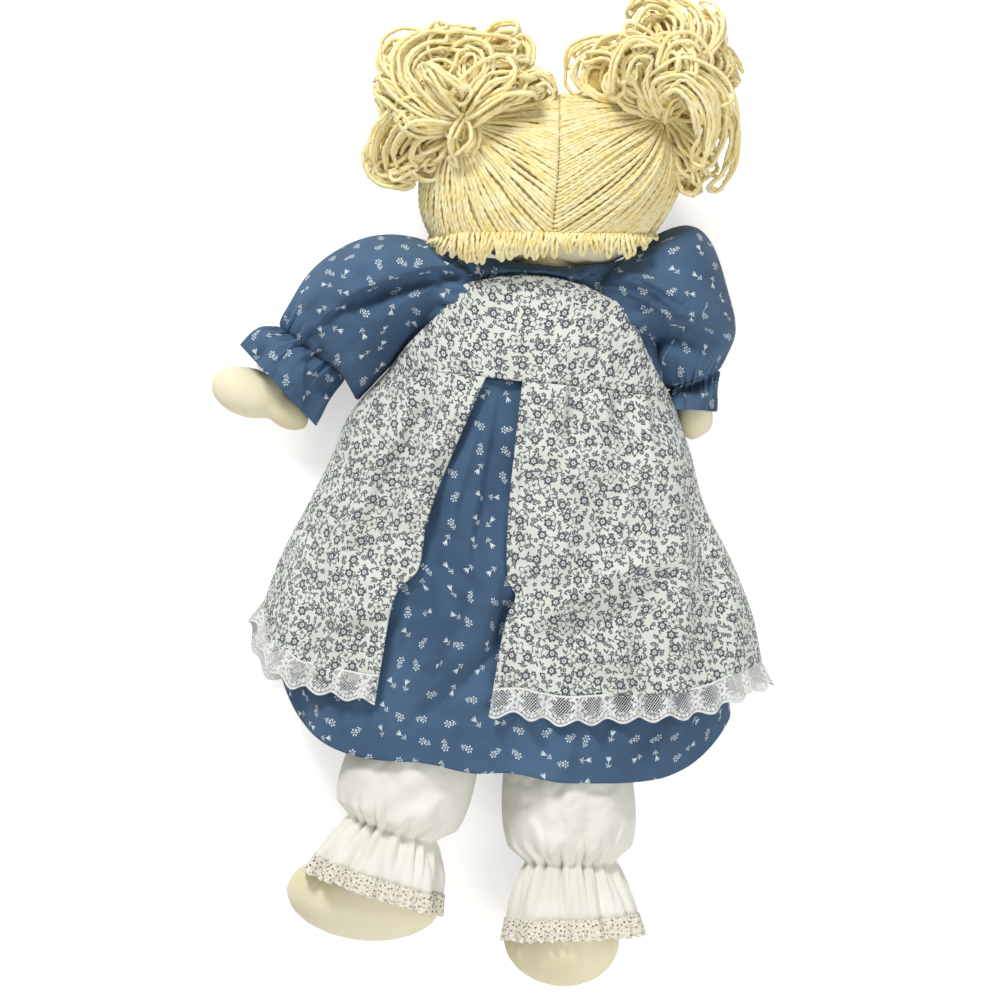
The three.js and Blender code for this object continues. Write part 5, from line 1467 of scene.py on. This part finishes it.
def head_strand(start, name, draw, layer):
    """One strand from its start to its tie, with the last stretch rising into the bundle."""
    tie, tie_way = TIES[name], way_to(TIES[name])
    to_start = start - tie_way
    rim = tie_way + RIM * to_start / np.linalg.norm(to_start)
    rim /= np.linalg.norm(rim)
    ways = combed(start, rim)
    share = np.linspace(0, 1, len(ways))
    aside = np.cross(start, rim)
    sway = SWAY * np.sin(share * draw.uniform(3, 8) + draw.uniform(0, TURN)) * np.sin(math.pi * share)
    ways = ways + sway[:, None] * aside / np.linalg.norm(aside)
    pile = layer * LAYER_RISE * share ** 2 + draw.uniform(-0.5, 0.5)
    body = on_head(ways, 0.6 + pile + 0.25 * np.sin(share * 9 + draw.uniform(0, 6)))
    sink = on_head(start, -2.0)
    inside = tie + TIE_WAYS[name] * (4 + layer) + np.array([draw.uniform(-2.5, 2.5) for _ in range(3)])
    return np.vstack([sink, body, [inside]])


# %% Hair of the back, left and right of the parting
# The underlayer's yarn is darker than the strands: painted shade for the gaps between them.
painted_shade_yarn = spun_yarn("yarn_in_shade", "#ccb168", "#dcc57f", 9, (0.7, 5.0), (0.8, 1), 0.95, 0.1)


def shaped_base(name, bm):
    """A piece of the underlayer from its finished shape, in the darker yarn of painted shade."""
    for face in bm.faces:
        face.smooth = True
    piece = in_scene(name, mesh_of(name, bm))
    piece.data.materials.append(painted_shade_yarn)
    return piece


def hair_cap(name, keep):
    """The stitched underlayer of yarn, which closes the gaps between strands. Its darker colour is painted shade.
    """
    bm = bmesh.new()
    bmesh.ops.create_uvsphere(bm, u_segments=72, v_segments=48, radius=1)
    for vertex in bm.verts:
        vertex.co = on_head(np.array(vertex.co), -0.9)[0] * MM
    spare = [face for face in bm.faces if not keep(np.array(face.calc_center_median()) / MM)]
    bmesh.ops.delete(bm, geom=spare, context="FACES")
    return shaped_base(name, bm)


def with_base(strands, base):
    """Joins the strands with the underlayer below them, each in its own finish; the underlayer's is darker yarn,
    painted shade.
    """
    strands.data.materials.append(painted_shade_yarn)
    join_pieces(strands, base, 1)


SPLIT_LEVEL = 38
CAP_EDGE = ([-64, 0, 40, 58], [44, 44, 50, 62])
SEAM_STRANDS, NAPE_STRANDS, EDGE_STRANDS = 46, 35, 13
for name, side in SIDES.items():
    draw = random.Random(80 + side)
    starts = hair_starts(name, SEAM_STRANDS, NAPE_STRANDS, EDGE_STRANDS)
    strands = [head_strand(start, name, draw, k % 3) for k, start in enumerate(starts)]
    hair = yarn_piece(f"{name}_back_hair", strands, step=1.2, corners=7, seed=90 + side, thick=2.9)
    with_base(hair, hair_cap("painted_shade_yarn", lambda c: (c[2] > SPLIT_LEVEL and side * (c[0] - 0.5) > 0
                                                     and c[1] > np.interp(c[0], *CAP_EDGE))))
    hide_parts(f"hair_back_{name}")
    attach(hair, "head")

# %% [markdown]
# ### The hair round the face
# The real hair also covers the forehead and the sides. It can't be seen here, so it is made
# as such dolls have it: strands from the front end of the parting, swept to the same ties.

# %% Front hair, hidden under the head: it frames the forehead and lies flat on the table
FOREHEAD_Y, HAIR_LOWEST = 98, 0.3 * MM
draw = random.Random(95)
strands = []
for name, side in SIDES.items():
    for k in range(16):
        lean = math.radians(88 - 52 * k / 15)
        strands.append(head_strand(np.array([side * 0.02, math.sin(lean), -math.cos(lean)]), name, draw, k % 3))
    for k in range(12):
        down = 0.62 - 0.9 * k / 11
        start = np.array([side * (0.45 + 0.5 * k / 11), down, -0.55 + 0.25 * k / 11])
        strands.append(head_strand(start / np.linalg.norm(start), name, draw, k % 3))
front_hair = yarn_piece("front_hair", strands, step=1.4, corners=6, seed=96)
with_base(front_hair, hair_cap("painted_shade_yarn", lambda c: c[2] <= SPLIT_LEVEL and c[1] > FOREHEAD_Y))
for vertex in front_hair.data.vertices:
    vertex.co.z = max(vertex.co.z, HAIR_LOWEST)
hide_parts("hair_front")
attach(front_hair, "head")

# %% [markdown]
# ### The nape
# Below the combed hair a row of short yarn loops is sewn on side by side. Each is one strand
# that goes down, turns and comes back up, a little longer or shorter than its neighbours.

# %% Nape: a row of short loops below the combed hair
NAPE_BOTTOM = [[-70, 42], [-62.7, 38], [-44.5, 33.4], [-30, 33.2], [-18, 35.6], [0, 39.4], [16, 42], [30, 43],
               [41, 44], [55, 53]]
NAPE_TOP_LEFT, NAPE_TOP_RISE = 45, 0.105
NAPE_LEFT, NAPE_WIDTH, NAPE_LOOPS = -65, 122, 62
strands = []
draw = random.Random(97)
for k in range(NAPE_LOOPS):
    x = NAPE_LEFT + NAPE_WIDTH * (k + 0.5) / NAPE_LOOPS + draw.uniform(-0.8, 0.8)
    top = NAPE_TOP_LEFT + (x + 63) * NAPE_TOP_RISE
    low = float(along(NAPE_BOTTOM, x)) + draw.uniform(-1.8, 2.6)
    level = on_head(way_above(x, top), 1.0)[0][2]
    half = draw.uniform(1.1, 1.6)
    slant = draw.uniform(-4, 4)
    fall = low - top
    loop = [(-half * 0.6, 1, -3.5), (-half, -1.5, 1.2), (-half + slant * 0.5, 0.5 * fall, 2.6),
            (-half * 0.8 + slant, fall + 2, 0.5), (slant, fall, -1.5), (half * 0.8 + slant, fall + 2, 0.2),
            (half + slant * 0.5, 0.5 * fall, 1.9), (half, -1.5, 0.6), (half * 0.6, 1, -4)]
    drop = np.interp(abs(x + 4), [0, 45, 66], [0, 0, -4])
    strands.append([(x + dx, top + dy, level + dz + drop) for dx, dy, dz in loop])
nape = yarn_piece("nape_loops", strands, step=1.1, corners=8, seed=98, thick=2.6)
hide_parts("nape_fringe")
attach(nape, "head")

# %% [markdown]
# ## Pigtails
# Each pigtail is the same yarn in long loops, held by a wound tie. Loops lie together in
# bundles: every bundle follows a guide that starts in the tie, and each of its loops runs
# out along the guide, turns, and comes back beside itself. Loops that sweep round the middle
# of each lobe fill the bunch, and a small core inside stands for the yarn that can't be seen.
# Its darker colour is painted shade.

# %% Guides of the bundles: their radius and count, then places in the picture with their height
BUNDLES = {
    "left": [
        (9, 8, [(440, 120, 86), (408, 82, 84), (425, 56, 80), (470, 54, 78), (532, 60, 66)]),
        (8, 7, [(432, 110, 82), (402, 66, 68), (440, 44, 60), (500, 44, 58), (530, 52, 52)]),
        (7, 6, [(430, 100, 82), (396, 76, 72), (392, 54, 66), (412, 46, 68), (422, 62, 76)]),
        (8, 8, [(440, 108, 92), (424, 76, 92), (448, 92, 95), (474, 108, 94), (484, 88, 90)]),
        (7, 7, [(468, 112, 88), (488, 86, 86), (520, 80, 80), (553, 80, 70)]),
        (7, 7, [(478, 118, 88), (508, 100, 86), (556, 100, 74)]),
        (9, 8, [(440, 125, 84), (410, 106, 80), (386, 86, 68), (384, 104, 60), (402, 110, 74)]),
        (11, 12, [(445, 128, 84), (415, 126, 80), (390, 146, 66), (388, 172, 54), (405, 182, 54), (424, 168, 62)]),
        (6, 5, [(462, 138, 86), (454, 152, 84), (462, 174, 74)]),
        (5, 3, [(478, 140, 84), (472, 160, 82), (450, 180, 74)]),
        (13, 10, [(430, 130, 72), (402, 120, 56), (404, 90, 46), (450, 74, 48)]),
        (9, 6, [(455, 118, 78), (462, 84, 66), (490, 66, 58), (522, 70, 54)]),
    ],
    "right": [
        (10, 8, [(648, 100, 72), (636, 60, 80), (610, 56, 80), (598, 85, 76), (598, 112, 68)]),
        (9, 8, [(650, 96, 76), (646, 64, 86), (624, 66, 88), (616, 90, 85), (620, 114, 78)]),
        (9, 8, [(640, 100, 66), (612, 64, 64), (588, 60, 60), (580, 72, 57), (590, 98, 58)]),
        (10, 8, [(660, 92, 68), (670, 42, 66), (650, 16, 60), (634, 28, 62), (642, 52, 70)]),
        (9, 8, [(664, 86, 74), (690, 46, 76), (680, 16, 66), (656, 12, 60)]),
        (9, 8, [(674, 80, 76), (700, 52, 74), (706, 28, 64), (686, 14, 56)]),
        (7, 7, [(668, 92, 84), (666, 62, 90), (688, 62, 90), (694, 84, 86)]),
        (11, 11, [(652, 100, 78), (680, 86, 88), (708, 106, 82), (712, 140, 72), (696, 174, 60), (686, 198, 54)]),
        (8, 8, [(656, 102, 84), (672, 96, 92), (692, 116, 90), (698, 146, 80), (690, 178, 68)]),
        (9, 8, [(662, 110, 70), (696, 96, 70), (724, 126, 62), (722, 164, 52), (702, 192, 46)]),
        (7, 6, [(690, 96, 66), (714, 76, 60), (728, 62, 52), (732, 86, 48), (722, 100, 52)]),
        (12, 9, [(668, 104, 52), (684, 76, 48), (694, 120, 44), (700, 150, 46)]),
    ],
}


def square_to(way):
    """Two directions across a line."""
    first = np.cross(way, [0.2, 0.1, 1.0])
    first /= np.linalg.norm(first)
    return first, np.cross(way, first)


WIGGLE = 0.9


def loop_of(guide, radius, draw):
    """One loop of yarn along a guide: out, round and back."""
    line = evenly(guide, 4)
    reach = draw.uniform(0.62, 1.0)
    count = max(4, int(len(line) * reach))
    line = line[:count]
    ways = np.gradient(line, axis=0)
    ways /= np.linalg.norm(ways, axis=1)[:, None]
    angle, far = draw.uniform(0, TURN), radius * math.sqrt(draw.uniform(0.02, 1))
    apart = draw.uniform(2.4, 5.5)
    turn = draw.uniform(0, TURN)
    share = np.linspace(0, 1, count)
    spread = 0.25 + 0.75 * np.clip(share / 0.45, 0, 1) ** 0.8
    sides = []
    for sign in (-1, 1):
        side = []
        for k, (spot, way) in enumerate(zip(line, ways)):
            a, b = square_to(way)
            middle = (a * math.cos(angle) + b * math.sin(angle)) * far
            own = (a * math.cos(turn + share[k]) + b * math.sin(turn + share[k])) * apart * sign
            side.append(spot + (middle + own) * spread[k])
        sides.append(side)
    a, b = square_to(ways[-1])
    tip = line[-1] + (a * math.cos(angle) + b * math.sin(angle)) * far + ways[-1] * apart
    whole = sides[0] + [tip] + sides[1][::-1]
    thinned = whole[::2] if len(whole) % 2 else whole[::2] + [whole[-1]]
    return [np.array(spot) + [draw.uniform(-WIGGLE, WIGGLE) for _ in range(3)] for spot in thinned]


# The lobes of each pigtail: a place in the picture, its height, and how wide the lobe is there.
LOBES = {
    "left": [(400, 64, 68, 22), (448, 56, 76, 24), (508, 60, 64, 26), (392, 98, 66, 20), (446, 98, 90, 28),
             (498, 86, 82, 22), (536, 92, 70, 16), (392, 160, 58, 24), (428, 160, 72, 22), (462, 150, 76, 14),
             (420, 120, 84, 24), (470, 75, 84, 24)],
    "right": [(598, 84, 70, 26), (652, 36, 66, 28), (692, 46, 66, 24), (664, 76, 86, 22), (698, 112, 84, 26),
              (698, 158, 66, 22), (722, 84, 56, 16), (690, 186, 54, 12), (622, 90, 80, 18), (660, 60, 78, 24),
              (708, 70, 66, 20), (628, 62, 78, 20)],
}
ARC_STEP = math.radians(48)


def leaving_tie(name):
    """The first two places of every guide: in the tie, and a little way out of it."""
    return [TIES[name] + TIE_WAYS[name] * far for far in (2, 9)]


def swirl(name, lobe, draw):
    """A guide that leaves the tie and sweeps round the middle of one lobe."""
    tie = TIES[name]
    middle = from_picture(*lobe[:3])
    wide = lobe[3] * PICTURE_STEP * draw.uniform(0.3, 0.85)
    back = math.atan2(tie[1] - middle[1], tie[0] - middle[0])
    sense = draw.choice([-1, 1])
    lean_x, lean_y = draw.uniform(-0.35, 0.35), draw.uniform(-0.35, 0.35)
    rise = draw.uniform(-7, 5)
    spots = []
    for k in range(draw.choice([4, 5, 5])):
        angle = back + sense * (math.radians(70) + k * ARC_STEP)
        dx, dy = wide * math.cos(angle), wide * math.sin(angle)
        spots.append(middle + np.array([dx, dy, rise + lean_x * dx + lean_y * dy - 1.2 * k]))
    return leaving_tie(name) + spots


CORE_SHARE, CORE_DROP, CORE_FLAT = 0.68, 9, 0.75


def pigtail_core(name):
    """The inner yarn of a pigtail, which is only seen as warm shade between the loops."""
    bm = bmesh.new()
    for px, py, z, wide in LOBES[name]:
        radius = CORE_SHARE * wide * PICTURE_STEP
        middle = Vector(from_picture(px, py, max(z - CORE_DROP, radius * CORE_FLAT + 1)) * MM)
        shape = Matrix.Translation(middle) @ Matrix.Diagonal((radius * MM, radius * MM, radius * CORE_FLAT * MM, 1))
        bmesh.ops.create_icosphere(bm, subdivisions=3, radius=1, matrix=shape)
    return shaped_base(f"{name}_pigtail_core", bm)


SWIRLS_EACH, LOOPS_IN_SWIRL, SWIRL_RADIUS = {"left": 4, "right": 3}, 4, 3.4
TIE_RADIUS, TIE_RISE, TIE_STEPS, TIE_LENGTH = 8.5, 2.2, 12, 30
for name, side in SIDES.items():
    draw = random.Random(110 + side)
    tie, tie_way = TIES[name], TIE_WAYS[name]
    strands = []
    for radius, count, guide in BUNDLES[name]:
        line = leaving_tie(name) + [from_picture(*spot) for spot in guide]
        strands += [loop_of(line, radius * 0.9, draw) for _ in range(max(3, int(count * 0.75)))]
    for lobe in LOBES[name]:
        for _ in range(SWIRLS_EACH[name]):
            line = swirl(name, lobe, draw)
            strands += [loop_of(line, SWIRL_RADIUS, draw) for _ in range(LOOPS_IN_SWIRL)]
    pigtail = yarn_piece(f"{name}_pigtail_loops", strands, step=2.1, corners=5, seed=120 + side, thick=3.1)
    with_base(pigtail, pigtail_core(name))
    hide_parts(f"{name}_pigtail")
    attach(pigtail, f"{name}_pigtail")
    around, across = square_to(tie_way)
    coil = []
    for turns in (k / TIE_STEPS for k in range(TIE_LENGTH)):
        out = around * math.cos(TURN * turns) + across * math.sin(TURN * turns)
        coil.append(tie + tie_way * (1 + TIE_RISE * turns) + TIE_RADIUS * out)
    tied = yarn_piece(f"{name}_tie_yarn", [coil], step=1.0, corners=8, seed=130)
    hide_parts(f"{name}_hair_tie")
    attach(tied, "head")
